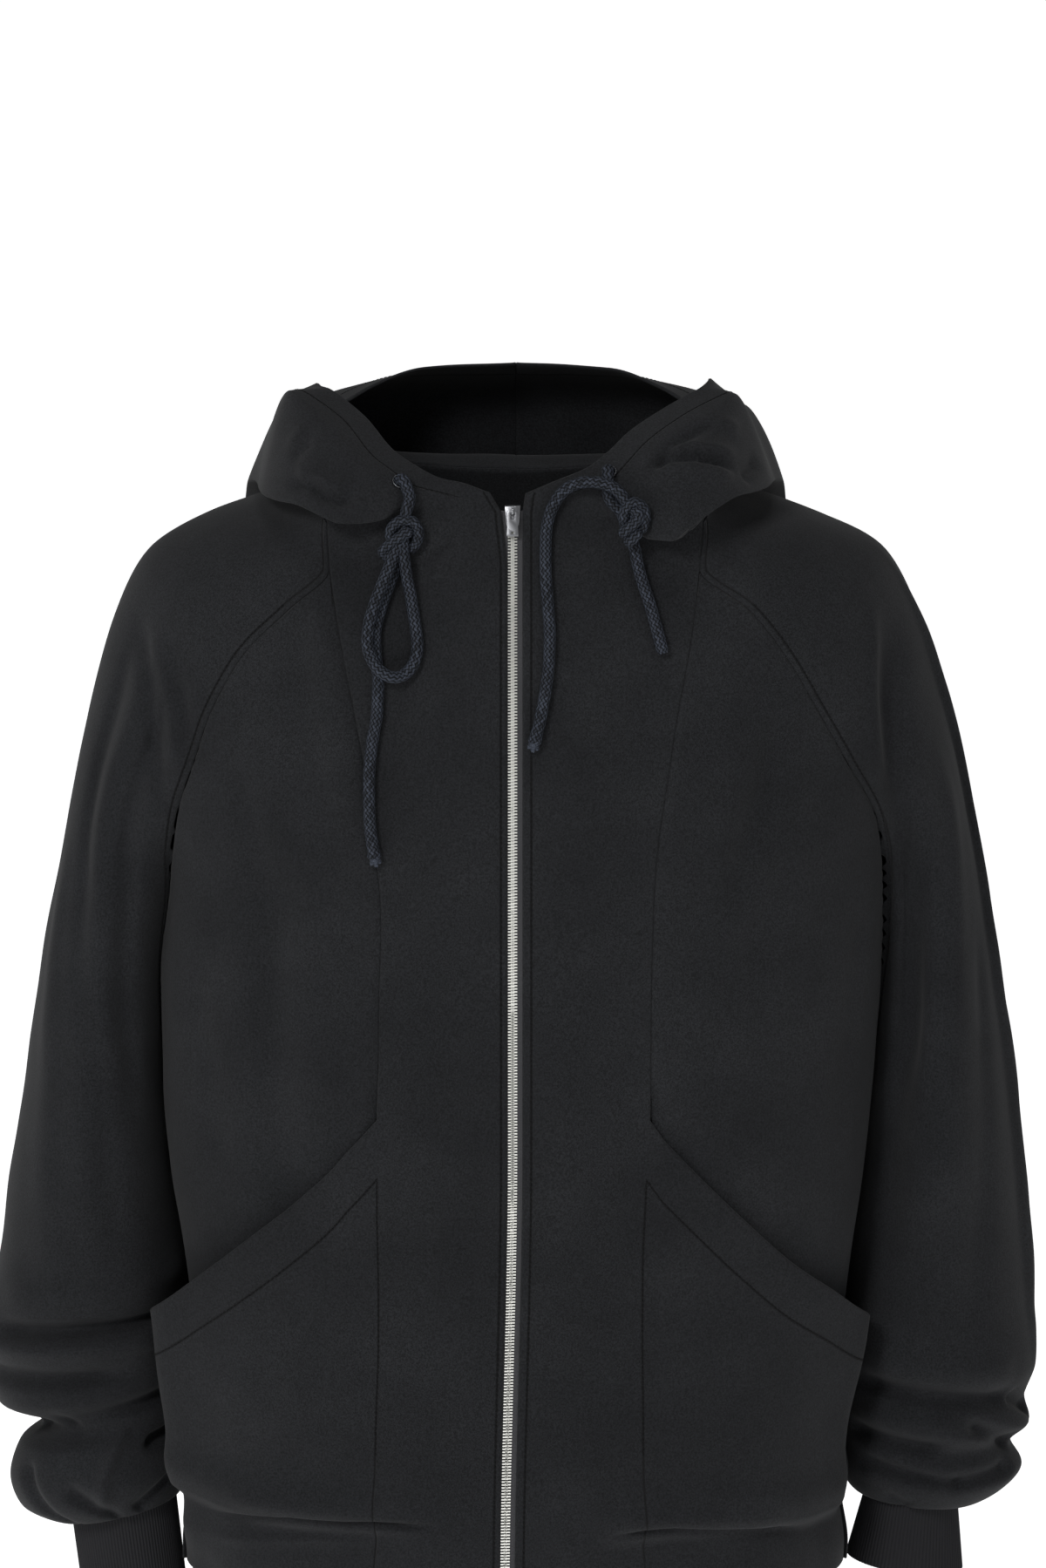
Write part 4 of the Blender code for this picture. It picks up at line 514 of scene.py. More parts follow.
# Creases of the sleeves: from (turn, row) to (turn, row), width in metres, height. The turn goes
# round the ring from the front seam (0) over the outer line (0.5) to the back seam (1).
SLEEVE_FOLDS = {
    "right": table("""turn0 row0 turn1 row1 width height
     .1    5 .16 11.5  .011  -.005
     .2  4.5 .24 12.5  .013  .0034
    .28    5  .2 13.5  .012 -.0046
    .36    8  .3 14.5  .014  .0026
    .02 15.1 .42 15.6 .0062 -.0105
    .05 14.2  .4 14.7  .012   .003
    .18 16.9  .6 16.9  .006  -.008
     .1   16 .48 16.1  .008  .0035
      0 17.6 .34 18.5 .0052  -.008
     .3 18.3 .46 18.9  .006  -.006
    .05 19.5 .16 19.8  .005  -.009
    .22   19 .24   22  .005  .0055
     .3   21 .22 22.6  .006 -.0065
    .08 21.2 .18 22.4  .005 -.0055
     .4 20.4 .34 22.8  .006  -.005
    .62 14.5 .88 15.5  .008 -.0075
     .7 17.5 .98   17  .007 -.0075
     .6 20.2 .85 20.6  .006 -.0055
    .72    6 .78   13  .014 -.0055
     .6    7 .66 13.5  .014   .003
      0 11.2   0 15.6   .03  .0018
      1 11.2   1 15.6   .03  .0018"""),
    "left": table("""turn0 row0 turn1 row1 width height
    .42  4.6 .47 16.6  .007  .0062
     .5    5 .52   16 .0085 -.0034
    .12  7.5 .14   14  .016 -.0065
    .26  6.5 .24   13  .014  .0028
    .34    9  .3   15  .011 -.0028
    .08 17.3  .4 17.7 .0062 -.0085
    .12 16.5 .38 16.8  .011  .0032
     .4 17.7  .5 18.6  .005  -.007
     .3 18.6 .44 19.8 .0052 -.0085
     .1 18.3 .28 18.5  .007   .003
    .06 19.2 .26 19.6 .0052 -.0075
     .1 20.6  .3 21.2  .005 -.0062
    .28 21.2 .42 20.8 .0058  -.007
    .16   22 .22 23.2  .005  -.004
    .62 15.5  .9 16.4  .008 -.0075
    .58   18 .92 18.4  .007 -.0075
    .66   20  .9 20.3  .006 -.0055
    .74    6  .8   13  .014 -.0055
      0 11.2   0 15.6   .03  .0018
      1 11.2   1 15.6   .03  .0018"""),
}


def run_along(points):
    """Distance from a line's first point to each of its points."""
    return np.concatenate([[0], np.cumsum(np.linalg.norm(np.diff(points, axis=0), axis=1))])


def spots_at(points, run, at):
    """Points at these distances along a line."""
    return np.stack([np.interp(at, run, points[:, k]) for k in range(3)], axis=-1)


def sleeve_ring(name, side, row, turns):
    """One ring of a sleeve, from the front seam over the outer line to the back seam."""
    rings = SLEEVE[name]
    out_x, out_y, out_z, roundness, half = (float(read(rings, column, row)) for column in range(1, 6))
    outer = np.array([side * out_x, out_y, out_z])
    lift = UNDERARM_CLEAR * float(ease((row - 4.0) / 2.0))
    if row <= UNDERARM_ROW:
        front = body_point(side, float(row_value(4 if side < 0 else 5, row)),
                           float(row_value(1, row)), lift)
        back = body_point(side, float(row_value(6, row)), float(row_value(7, row)), lift)
    else:
        low = rings[UNDERARM_ROW + 1:]
        keys = np.concatenate([[UNDERARM_ROW], low[:, 0]])
        start = body_point(side, 92.0, ROWS[UNDERARM_ROW, 1], lift)
        start = start * (side, 1, 1)
        front = np.array([float(smooth(keys, np.concatenate([[start[a]], low[:, 6 + a]]), row))
                          for a in range(3)]) * (side, 1, 1)
        back = front
    middle = (front + back) / 2
    chord = (front - back) / 2
    reach = outer - middle
    turn = np.linspace(0, math.pi, 121)[:, None]
    spread = (1 - roundness) * np.sin(turn) + roundness * (1 - np.cos(2 * turn)) / 2
    curve = middle + chord * np.cos(turn) + reach * spread
    curve = curve + np.array([0.0, -half, 0.0]) * np.sin(2 * turn)
    # Turns are shares of the ring's length, so the cloth is spread evenly round it.
    length = run_along(curve)
    ring = spots_at(curve, length, np.clip(np.asarray(turns, float), 0, 1) * length[-1])
    centre = middle + reach * 0.5
    folds = np.zeros(np.shape(turns))
    around = np.asarray(turns, float) * SLEEVE_ROUND
    for turn0, row0, turn1, row1, width, height in SLEEVE_FOLDS[name]:
        folds = folds + fold_height(around, -out_z, SLEEVE_ROUND * turn0, -float(read(rings, 3, row0)),
                                    SLEEVE_ROUND * turn1, -float(read(rings, 3, row1)), width, height)
    edge = 1.0
    if row < UNDERARM_ROW or row > CUFF_ROW - 1:
        edge = ease(np.minimum(np.asarray(turns, float), 1 - np.asarray(turns, float)) / 0.08)
    if row > CUFF_ROW - 1:
        edge = edge * (CUFF_ROW - row)
    if row <= 2:
        edge = 0.0
    away = ring - centre
    away = away / np.maximum(np.linalg.norm(away, axis=-1, keepdims=True), 1e-6)
    return ring + away * (folds * edge)[..., None]


def sleeve_grid(name, side, rows, columns):
    """A whole sleeve: rows from the neck to the cuff, columns round the arm."""
    turns = np.linspace(0, 1, columns + 1)
    grid = np.array([sleeve_ring(name, side, r, turns) for r in rows])
    for i, row in enumerate(rows):
        if row >= UNDERARM_ROW:
            grid[i, -1] = grid[i, 0]
    return grid


# ================================================================== hood
# The hood is two halves of the same fleece, sewn at the crown and laid back on the shoulders. Its
# rim is a turned channel for the cord.

# Hood, lying down: each section runs from the face opening's rim over a crown to the bottom fold
# and back under it to the neck seam. Stations count along the neck seam from its front corner.
# Behind the shoulder both halves are alike.
HOOD_BACK = table("""st rim x,y,z crown x,y,z fold x,y,z under x,y,z
    11.5   .12   .026  .056 .1475   .038  .047 .1725   .056  -.004 .1145   .052  .0185
      13  .113   .045  .048  .145   .076   .04  .177   .108   -.04   .11   .074  .0165
      16  .093   .076  .055  .122   .122  .044   .15    .15  -.112  .098   .094   .011
      19   .06   .101  .064  .085   .153  .038  .098   .177  -.168   .06   .104   .006
      23     0   .115  .066     0   .172   .03     0   .188    -.2     0   .112   .004""")
HOOD = {
    "right": np.vstack([table("""st rim x,y,z crown x,y,z fold x,y,z under x,y,z
       0 .0164 -.0955 .0086  .044 -.0975  .004  .072    -.1  -.002  .097 -.0985  -.007
       1  .034  -.092 .0145  .058  -.098 .0075  .079 -.1035 -.0035  .103 -.1005 -.0045
       2 .0477  -.088 .0172  .069 -.0985  .011  .085   -.11  -.007  .111  -.103  -.001
       3 .0625 -.0785 .0235  .083 -.0955  .019  .097  -.115 -.0085 .1215  -.098   .006
       4 .0755  -.068  .031  .096  -.089  .027  .108  -.119  -.008  .131   -.08   .011
       6 .0953  -.042   .05  .119  -.062  .049   .14  -.094  .0015   .13  -.044  .0125
       8  .118   -.02 .0645  .142  -.026  .064  .161  -.042   .001  .126  -.004  .0185
      10  .126   .006  .065  .148   .006  .053 .1655   .012   .001  .118    .03   .019"""), HOOD_BACK]),
    "left": np.vstack([table("""st rim x,y,z crown x,y,z fold x,y,z under x,y,z
       0  .006 -.096  .008   .04  -.098 .004   .07 -.1005 -.002  .097 -.0985  -.007
       1 .0263 -.093 .0166  .054 -.0985 .009  .077  -.104 -.006  .103 -.1005 -.0045
       2 .0456 -.085 .0244  .067 -.0985 .015  .083  -.113 -.018  .111  -.105  -.001
       3  .058 -.074  .033 .0785  -.095 .024  .095  -.121 -.018 .1215    -.1   .006
       4 .0705 -.062 .0434   .09  -.088 .033  .105  -.124 -.011  .131   -.08   .011
       6  .094  -.04  .056  .118  -.062 .052  .142   -.09  .006   .13  -.044  .0125
       8  .116  -.02  .066  .138  -.024 .062  .162   -.04  .006  .126  -.004  .0185
      10  .124  .006  .069  .144   .006  .05  .166   .012  .002  .118    .03   .019"""), HOOD_BACK]),
}

HOOD_STOPS = (0.0, 0.26, 0.57, 0.66, 0.87, 1.0)
HOOD_FOLD = 0.014       # how far the hood's bottom fold is rounded


def hood_section(name, side, station, neck, across):
    """One section of the hood, from the rim to the point `neck` of the neck seam."""
    spots = [float(read(HOOD[name], column, station)) for column in range(1, 13)]
    spots = np.array(spots).reshape(4, 3) * (side, 1, 1)
    # The bottom fold is rounded: a second point lies beside it, nearer the neck.
    toward = (neck - spots[2]) * (1, 1, 0)
    turned = spots[2] + toward / np.linalg.norm(toward) * HOOD_FOLD
    turned = turned + (0, 0, -0.0010)
    flat = spots[2] + (spots[3] - spots[2]) * 0.3
    turned = flat + (turned - flat) * float(ease((station - 0.5) / 3.0))
    spots = np.vstack([spots[:3], turned, spots[3], neck])
    return np.stack([smooth(HOOD_STOPS, spots[:, axis], across) for axis in range(3)], axis=-1)


def neck_line(name, side, stations):
    """The neck seam: over the shoulder on the sleeve's top edge, then along the back's."""
    stations = np.asarray(stations, float)
    shoulder = sleeve_ring(name, side, 0.0, np.clip(stations / ROUND_SLEEVE, 0, 1))
    across = np.clip((stations - ROUND_SLEEVE) / HALF_BACK, 0, 1)
    return np.where((stations <= ROUND_SLEEVE)[:, None], shoulder, back_row(side, 0.0, across))


def hood_grid(name, side, stations, columns):
    """Hood half: rows along the neck seam, columns from the rim to the seam."""
    across = np.linspace(0, 1, columns + 1)
    necks = neck_line(name, side, stations)
    return np.array([hood_section(name, side, s, n, across) for s, n in zip(stations, necks)])


# ================================================================== sewing the panels
# The panels meet edge to edge in plain overlocked seams. Each is a shell of the cloth's real
# thickness with rolled edges, so a seam reads as a soft furrow.
SEAM_ROLL = 0.0010      # how far a turned edge rounds over
SEAM_TOUCH = -0.0003    # the sewn edges press this far into each other


def run_across(grid):
    """Distance of each point of a grid from the first point of its row."""
    run = np.cumsum(np.linalg.norm(np.diff(grid, axis=1), axis=2), axis=1)
    return np.concatenate([np.zeros((len(grid), 1)), run], axis=1)


def cells(grid):
    """Faces of one grid as corner numbers, with the distances across and down as each corner's UV."""
    rows, columns = grid.shape[:2]
    ids = np.arange(rows * columns).reshape(rows, columns)
    loops = np.stack([ids[:-1, :-1], ids[:-1, 1:], ids[1:, 1:], ids[1:, :-1]], axis=-1).reshape(-1, 4)
    across = run_across(grid)
    down = np.linalg.norm(np.diff(grid, axis=0), axis=2).mean(axis=1)
    down = np.concatenate([[0.0], np.cumsum(down)])[:, None] + np.zeros((1, columns))
    uv = np.stack([across, down], axis=-1).reshape(-1, 2)
    return loops, uv


def join_grids(grids, sewn=None):
    """Joins grids that share edges into one sheet of points, four-cornered faces and corner UVs. `sewn`
    adds each grid's distances to its two lines of topstitching."""
    points, loops, uvs, first = [], [], [], 0
    for k, (grid, flip) in enumerate(grids):
        faces, uv = cells(grid)
        if sewn:
            uv = np.hstack([uv, sewn[k].reshape(-1, 2)])
        faces = faces[:, ::-1] if flip else faces
        loops.append(faces + first)
        uvs.append(uv)
        points.append(grid.reshape(-1, 3))
        first += len(points[-1])
    points, loops, uvs = np.concatenate(points), np.concatenate(loops), np.concatenate(uvs)
    _, keep, same = np.unique(np.round(points * 2e5).astype(np.int64), axis=0, return_index=True,
                              return_inverse=True)
    corners = uvs[loops]
    loops = same.reshape(-1)[loops]
    return points[keep], loops, corners


def face_sums(points, loops):
    """Sum at each point of its faces' area vectors."""
    a, b, c, d = (points[loops[:, k]] for k in range(4))
    area = np.cross(c - a, d - b)
    total = np.zeros_like(points)
    for k in range(4):
        np.add.at(total, loops[:, k], area)
    return total


def share_normals(sheets):
    """Normals of sheets sewn together; points at one place on a seam share theirs."""
    places = np.concatenate([np.round(s[0] * 2e4) for s in sheets.values()]).astype(np.int64)
    sums = np.concatenate([face_sums(s[0], s[1]) for s in sheets.values()])
    _, same = np.unique(places, axis=0, return_inverse=True)
    same = same.reshape(-1)
    total = np.zeros((same.max() + 1, 3))
    np.add.at(total, same, sums)
    total = total[same]
    total /= np.maximum(np.linalg.norm(total, axis=1, keepdims=True), 1e-12)
    normals, first = {}, 0
    for name, sheet in sheets.items():
        normals[name] = total[first:first + len(sheet[0])]
        first += len(sheet[0])
    return normals


def open_edges(loops):
    """Directed edges that belong to one face only."""
    heads = loops.reshape(-1)
    tails = np.roll(loops, -1, axis=1).reshape(-1)
    real = heads != tails
    heads, tails = heads[real], tails[real]
    top = int(max(heads.max(), tails.max())) + 1
    forward = heads.astype(np.int64) * top + tails
    backward = tails.astype(np.int64) * top + heads
    alone = ~np.isin(forward, backward)
    return np.stack([heads[alone], tails[alone]], axis=1)


def inward_steps(points, normals, edges):
    """Unit steps into the sheet at the points of its open edges."""
    steps = np.zeros_like(points)
    line = points[edges[:, 1]] - points[edges[:, 0]]
    line /= np.maximum(np.linalg.norm(line, axis=1, keepdims=True), 1e-12)
    for k in range(2):
        step = np.cross(normals[edges[:, k]], line)
        np.add.at(steps, edges[:, k], step)
    long = np.linalg.norm(steps, axis=1, keepdims=True)
    return steps / np.maximum(long, 1e-9) * (long > 0.2)


def cloth_shell(name, points, loops, corners, normals, gap, thick=CLOTH):
    """Closed shell of a sheet: outer skin, rolled edge and inner skin."""
    edges = open_edges(loops)
    steps = inward_steps(points, normals, edges)
    outer = points + steps * (gap / 2 + SEAM_ROLL)
    inner = points + steps * (gap / 2 + SEAM_ROLL) - normals * thick
    roll_out = points + steps * (gap / 2) - normals * thick * 0.50
    roll_in = points + steps * (gap / 2) - normals * thick * 0.80
    rim = np.unique(edges)
    place = np.full(len(points), -1)
    count = len(points)
    place[rim] = np.arange(len(rim)) + 2 * count
    every = np.vstack([outer, inner, roll_out[rim], roll_in[rim]])
    second = place + len(rim)
    a, b = edges[:, 0], edges[:, 1]
    faces = [loops, loops[:, ::-1] + count,
             np.stack([b, a, place[a], place[b]], axis=1),
             np.stack([place[b], place[a], second[a], second[b]], axis=1),
             np.stack([second[b], second[a], a + count, b + count], axis=1)]
    edge_uv = np.ones((3 * len(edges), 4, corners.shape[-1]))
    uvs = np.concatenate([corners, corners[:, ::-1], edge_uv])
    return mesh_piece(name, every, np.concatenate(faces), uvs)


def mesh_piece(name, points, loops, uvs=None):
    """Smooth-shaded object of four-cornered faces; a face with a doubled corner becomes a triangle."""
    mesh = bpy.data.meshes.new(name)
    after = np.roll(loops, -1, axis=1)
    real = loops != after
    sizes = real.sum(axis=1)
    keep = sizes >= 3
    real, loops, sizes = real[keep], loops[keep], sizes[keep]
    mesh.vertices.add(len(points))
    mesh.vertices.foreach_set("co", np.asarray(points, np.float32).reshape(-1))
    flat = loops[real]
    mesh.loops.add(len(flat))
    mesh.loops.foreach_set("vertex_index", flat.astype(np.int32))
    mesh.polygons.add(len(sizes))
    mesh.polygons.foreach_set("loop_start", np.concatenate([[0], np.cumsum(sizes)[:-1]]).astype(np.int32))
    mesh.polygons.foreach_set("loop_total", sizes.astype(np.int32))
    mesh.polygons.foreach_set("use_smooth", np.ones(len(sizes), bool))
    if uvs is not None:
        for k, map_name in enumerate(("cloth", "sewn")[:uvs.shape[-1] // 2]):
            layer = mesh.uv_layers.new(name=map_name)
            flat_uv = uvs[keep][real][:, 2 * k:2 * k + 2]
            layer.data.foreach_set("uv", flat_uv.astype(np.float32).reshape(-1))
    mesh.update(calc_edges=True)
    mesh.validate()
    return put(name, mesh)


def fleece_material():
    """Cotton fleece, smooth jersey face: matt, with a faint pile, fine knitted wales and painted shade in its
    topstitching grooves.
    """
    made, tree, shader = new_material("cotton_fleece", "1C1D1F", 0.93)
    shader.inputs["Sheen Weight"].default_value = 0.03
    shader.inputs["Sheen Roughness"].default_value = 0.55
    shader.inputs["Specular IOR Level"].default_value = 0.16
    place = add(tree, "ShaderNodeTexCoord").outputs["Object"]
    # Washed patches are some 60 mm wide. Flecks of pile are 1.2 mm, coarser than real ones, to show.
    wash = add(tree, "ShaderNodeTexNoise", {"Scale": 16.0, "Detail": 3.0, "Roughness": 0.55}, Vector=place)
    pile = add(tree, "ShaderNodeTexNoise", {"Scale": 850.0, "Detail": 2.0, "Roughness": 0.7}, Vector=place)
    tone = add(tree, "ShaderNodeValToRGB", Fac=wash)
    for end, position, code in zip(tone.color_ramp.elements, (0.3, 0.72), ("131416", "1A1B1D")):
        end.position, end.color = position, paint(code)
    speck = add(tree, "ShaderNodeMapRange", {"From Min": 0.36, "From Max": 0.64}, Value=pile)
    fleck = add(tree, "ShaderNodeMix", {"data_type": "RGBA", "blend_type": "OVERLAY",
                                        0: 0.45, 6: tone, 7: speck})
    # Wales are 1.1 mm apart, coarser than real ones, so that they show at all.
    cloth = add(tree, "ShaderNodeUVMap", {"uv_map": "cloth"})
    wales = add(tree, "ShaderNodeTexWave", {"Scale": 2 * math.pi / 0.0011 / 20.0, "Distortion": 0.6,
                                            "Detail": 1.0}, Vector=cloth)
    knit = add(tree, "ShaderNodeMath", {"operation": "MULTIPLY_ADD", 0: wales.outputs["Fac"], 1: 0.25,
                                        2: pile})
    # Each line of topstitching pulls the cloth into a fine groove: a bump presses it in, and painted shade
    # darkens the colour inside it.
    apart = add(tree, "ShaderNodeSeparateXYZ", Vector=add(tree, "ShaderNodeUVMap", {"uv_map": "sewn"}))
    near = []
    for axis in ("X", "Y"):
        size = add(tree, "ShaderNodeMath", {"operation": "ABSOLUTE", 0: apart.outputs[axis]})
        near.append(add(tree, "ShaderNodeMapRange", {"interpolation_type": "SMOOTHSTEP", "To Min": 1.0,
                                                     "To Max": 0.0, "From Max": GROOVE_HALF}, Value=size))
    groove = add(tree, "ShaderNodeMath", {"operation": "MAXIMUM", 0: near[0], 1: near[1]})
    share = add(tree, "ShaderNodeMath", {"operation": "MULTIPLY", 0: groove, 1: 0.75})
    # Painted shade: the colour is mixed toward near-black 060607 along each groove.
    shade = add(tree, "ShaderNodeMix", {"data_type": "RGBA", 0: share, 6: fleck.outputs[2],
                                        7: paint("060607")})
    tree.links.new(shade.outputs[2], shader.inputs["Base Color"])
    pressed = add(tree, "ShaderNodeBump", {"Strength": 1.0, "Distance": 0.0009, "invert": True},
                  Height=groove)
    bump = add(tree, "ShaderNodeBump", {"Strength": 0.35, "Distance": 0.0004}, Height=knit, Normal=pressed)
    tree.links.new(bump.outputs["Normal"], shader.inputs["Normal"])
    return made


def soft_relief(points):
    """Uneven swell of handled cloth: broad dents and small ripples, in metres along the normal."""
    swell = np.zeros(len(points))
    for k, p in enumerate(points):
        v = Vector(p)
        swell[k] = 0.0011 * noise.noise(v * 11.0) + 0.0005 * noise.noise(v * 29.0 + Vector((3, 1, 7)))
    return swell


# Creases pressed into the front, one to a row: width and height (negative for a trough), then
# x and z of each point of its line.
CREASES = """
    .0035 -.0055  -.1432 .012  -.1291 .0138  -.1197 .008  -.1082 .0054  -.0974 .0084
    .0045 .004  -.1387 .0166  -.1248 .0186  -.1137 .0127  -.1028 .0109
    .003 -.003  -.128 .038  -.1346 .0329  -.1413 .0265
    .004 .0025  -.1309 .042  -.137 .0375  -.142 .0318
    .0035 -.0085  .0816 .0237  .0947 .0298  .1094 .0307  .1258 .0274  .1397 .0213
    .0065 .0055  .0848 .0179  .0978 .0235  .1131 .0243  .1284 .0204  .1379 .0154
    .004 .0045  .0915 .0335  .1078 .0351  .1254 .0324  .1399 .0261
    .003 -.0045  .0849 .0267  .0992 .0384  .1113 .0441  .1315 .0514
    .0035 .0028  .1197 .0495  .1303 .0482  .1415 .0422
    .005 -.004  .1424 .0151  .1483 .0191  .1533 .0235
    .003 -.0026  -.0362 -.0229  -.0455 -.0272  -.0552 -.0368  -.0585 -.0384
    .003 .0022  -.0379 -.0282  -.0455 -.0336  -.052 -.0394
    .0022 -.0014  -.0195 -.3667  -.0075 -.3683
    .0022 -.0014  .0072 -.369  .0165 -.3674  .0263 -.3674
    .009 -.004  .1669 -.1232  .156 -.1731  .1407 -.2214  .1282 -.2508
    .011 .0016  .1504 -.1456  .1395 -.183  .1232 -.2259
    .008 -.0028  -.18 -.1366  -.1648 -.207  -.1553 -.2736  -.1527 -.391
    .006 .002  -.1216 -.0586  -.1128 -.1061  -.103 -.16  -.0966 -.1926
    .005 -.0036  -.2378 -.0727  -.2326 -.118  -.2232 -.1966
    .004 .0024  -.2252 -.0875  -.2169 -.1343  -.2127 -.1728
    .004 -.0024  -.2117 -.1117  -.2068 -.1498
    .004 .0028  .2252 -.0652  .226 -.1237  .231 -.18
    .009 -.009  .2369 -.0672  .2374 -.1251  .2412 -.1808  .246 -.2403  .2483 -.3267  .245 -.4079
    .0024 -.0046  -.1913 -.6534  -.1451 -.6471  -.106 -.6463  -.0507 -.6453
    .007 .003  -.1847 -.6384  -.1393 -.6374  -.0893 -.6375
    .004 .0016  -.1973 -.671  -.1455 -.6621  -.0951 -.6556
    .0024 -.0048  .0597 -.6517  .0984 -.6499  .1432 -.6551  .1823 -.6618
    .0065 .003  .0597 -.6446  .0983 -.6424  .1429 -.6458  .1782 -.6496
"""


def crease_relief(points, normals):
    """Height of the listed creases at each point that faces the front."""
    total = np.zeros(len(points))
    spot = points[:, [0, 2]]
    for row in CREASES.strip().splitlines():
        width, height, *line = map(float, row.split())
        line = np.array(line).reshape(-1, 2)
        steps = np.linalg.norm(np.diff(line, axis=0), axis=1)
        whole = steps.sum()
        nearest, place = np.full(len(points), 1.0), np.zeros(len(points))
        for k, step in enumerate(steps):
            way = (line[k + 1] - line[k]) / step
            along = np.clip((spot - line[k]) @ way, 0, step)
            off = np.linalg.norm(spot - line[k] - along[:, None] * way, axis=1)
            closer = off < nearest
            nearest[closer] = off[closer]
            place[closer] = (steps[:k].sum() + along[closer]) / whole
        ends = ease(place / 0.25 + 0.15) * ease((1 - place) / 0.25 + 0.15)
        total += height * ends * np.exp(-((nearest / width) ** 2))
    facing = ease((-normals[:, 1] - 0.05) / 0.25) * (points[:, 1] < 0.09)
    return total * facing


PLACKET = {"right": 0.0036, "left": 0.0055}     # from the zip edge to its topstitching
CHANNEL = 0.0190        # width of the hood's turned channel
RAGLAN = 0.0044         # from a raglan seam to its topstitching
GROOVE_HALF = 0.0011    # half width of the groove along a line of topstitching
MOUTH_BAND = (0.038, 0.029)     # turned band under a pocket's mouth, measured down, inner and outer end
MOUTH_SLANT = 0.78      # cosine of the mouth's slant


def run_down(grid):
    """Distance of each point of a grid from the first point of its column."""
    return run_across(grid.transpose(1, 0, 2)).T


def mouth_band(pocket):
    """Distance down each column of a pocket from its mouth to the line of topstitching."""
    return np.linspace(*MOUTH_BAND, pocket.shape[1])


def far_from_stitches(grid):
    """Distances of a grid that no topstitching crosses."""
    return np.ones(grid.shape[:2] + (2,))


def stitch_distances(name, chest, hood, pocket, sleeve):
    """For each grid, every point's distance to the two lines of topstitching that cross it."""
    lines = [far_from_stitches(grid) for grid in (chest, hood, pocket, sleeve)]
    lines[0][..., 0] = run_across(chest) - PLACKET[name]
    below = ROWS[UNDERARM_ROW, 1] - MOUTH_BAND[0]
    beside = chest[..., 2] < below
    lines[0][..., 1] = np.where(beside, run_across(chest)[:, -1:] - run_across(chest), 1.0)
    lines[1][..., 0] = run_across(hood) - CHANNEL
    lines[2][..., 0] = MOUTH_SLANT * (run_down(pocket) - mouth_band(pocket))
    lines[2][..., 1] = np.where(pocket[..., 2] < below, run_across(pocket), 1.0)
    armhole = slice(0, UNDERARM_ROW * FINE_ROWS - 4)
    across = run_across(sleeve)
    lines[3][armhole, :, 0] = (across - RAGLAN)[armhole]
    lines[3][armhole, :, 1] = (across[:, -1:] - across - RAGLAN)[armhole]
    return lines


CLOTH_GRIDS = {}        # each side's fine grids, by panel
CLOTH_TREES = {}        # search trees over the finished panels


def build_body_cloth():
    rows = np.linspace(0, LAST_ROW, LAST_ROW * FINE_ROWS + 1)
    turns = FINE_ROUND * ROUND_SLEEVE
    stations = np.linspace(0, ROUND_SLEEVE + HALF_BACK, (ROUND_SLEEVE + HALF_BACK) * FINE_ROUND + 1)
    sheets = {}
    for name, side in SIDES:
        flip = side > 0
        chest = chest_grid(name, side, rows, FINE_FRONT)
        hood = hood_grid(name, side, stations, FINE_FRONT)
        chest[0] = hood[0]
        pocket = pocket_grid(name, side, rows[UNDERARM_ROW * FINE_ROWS:], 28)
        pocket[:, 0] = chest[UNDERARM_ROW * FINE_ROWS:, -1]
        under = side_grid(side, rows[2 * FINE_ROWS:], 28)
        arm = np.linspace(0, CUFF_ROW, CUFF_ROW * FINE_ROWS + 1)
        sleeve = sleeve_grid(name, side, arm, turns)
        sewn = stitch_distances(name, chest, hood, pocket, sleeve)
        sheets["front_" + name] = join_grids([(chest, flip), (hood, not flip), (pocket, flip)], sewn[:3])
        sheets["side_front_" + name] = join_grids([(under, flip)], [far_from_stitches(under)])
        sheets["sleeve_" + name] = join_grids([(sleeve, flip)], sewn[3:])
        CLOTH_GRIDS[name] = {"chest": chest, "hood": hood, "pocket": pocket, "side": under, "sleeve": sleeve}
    back = back_grid(rows, HALF_BACK * FINE_ROUND)
    sheets["back"] = join_grids([(back, False)], [far_from_stitches(back)])
    normals = share_normals(sheets)
    fleece = fleece_material()
    for name, (points, loops, corners) in sheets.items():
        relief = soft_relief(points) + crease_relief(points, normals[name])
        points = points + normals[name] * relief[:, None]
        made = cloth_shell("cloth_" + name, points, loops, corners, normals[name], SEAM_TOUCH)
        made.data.materials.append(fleece)
        CLOTH_TREES[name] = BVHTree.FromPolygons(points.tolist(), loops.tolist())
        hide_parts(name)
        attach(made, "garment")
        area = sum(face.area for face in made.data.polygons) / 2
        CUT[name] = area


CUT = {}
build_body_cloth()

# ================================================================== rib knit at the cuffs and hem
# One-by-one rib in the same yarn, doubled and stretched on as it is sewn: fine vertical ribs, with
# plain fabric inside. The wider sleeve is gathered into it.
RIB_PITCH = 0.0019      # from rib to rib
RIB_HIGH = 0.0007       # depth between ribs
RIB_WALL = 0.0019       # thickness of the knit
RIB_STEPS = 6           # faces across a rib
SEAM_TURN = 0.0035      # the rib's seam edge lies this far up behind the fleece
# Cuff: how the ring changes from its seam to its rim.
CUFF_RIM = {
    # inner x, outer x, centre y, inner z, outer z, half depth
    "right": (0.2165, 0.2850, 0.010, -0.722, -0.728, 0.034),
    "left": (0.2165, 0.2930, 0.012, -0.706, -0.716, 0.036),
}

HEM_TOP = -0.7022       # the hem rib's seam and its lower edge
HEM_END = -0.7500
HEM_INSET = 0.0004      # the rib lies this far behind the body's line


def even_spaced(points, count):
    """`count` points evenly spaced by length along a line of points."""
    length = run_along(points)
    return spots_at(points, length, np.linspace(0, length[-1], count))


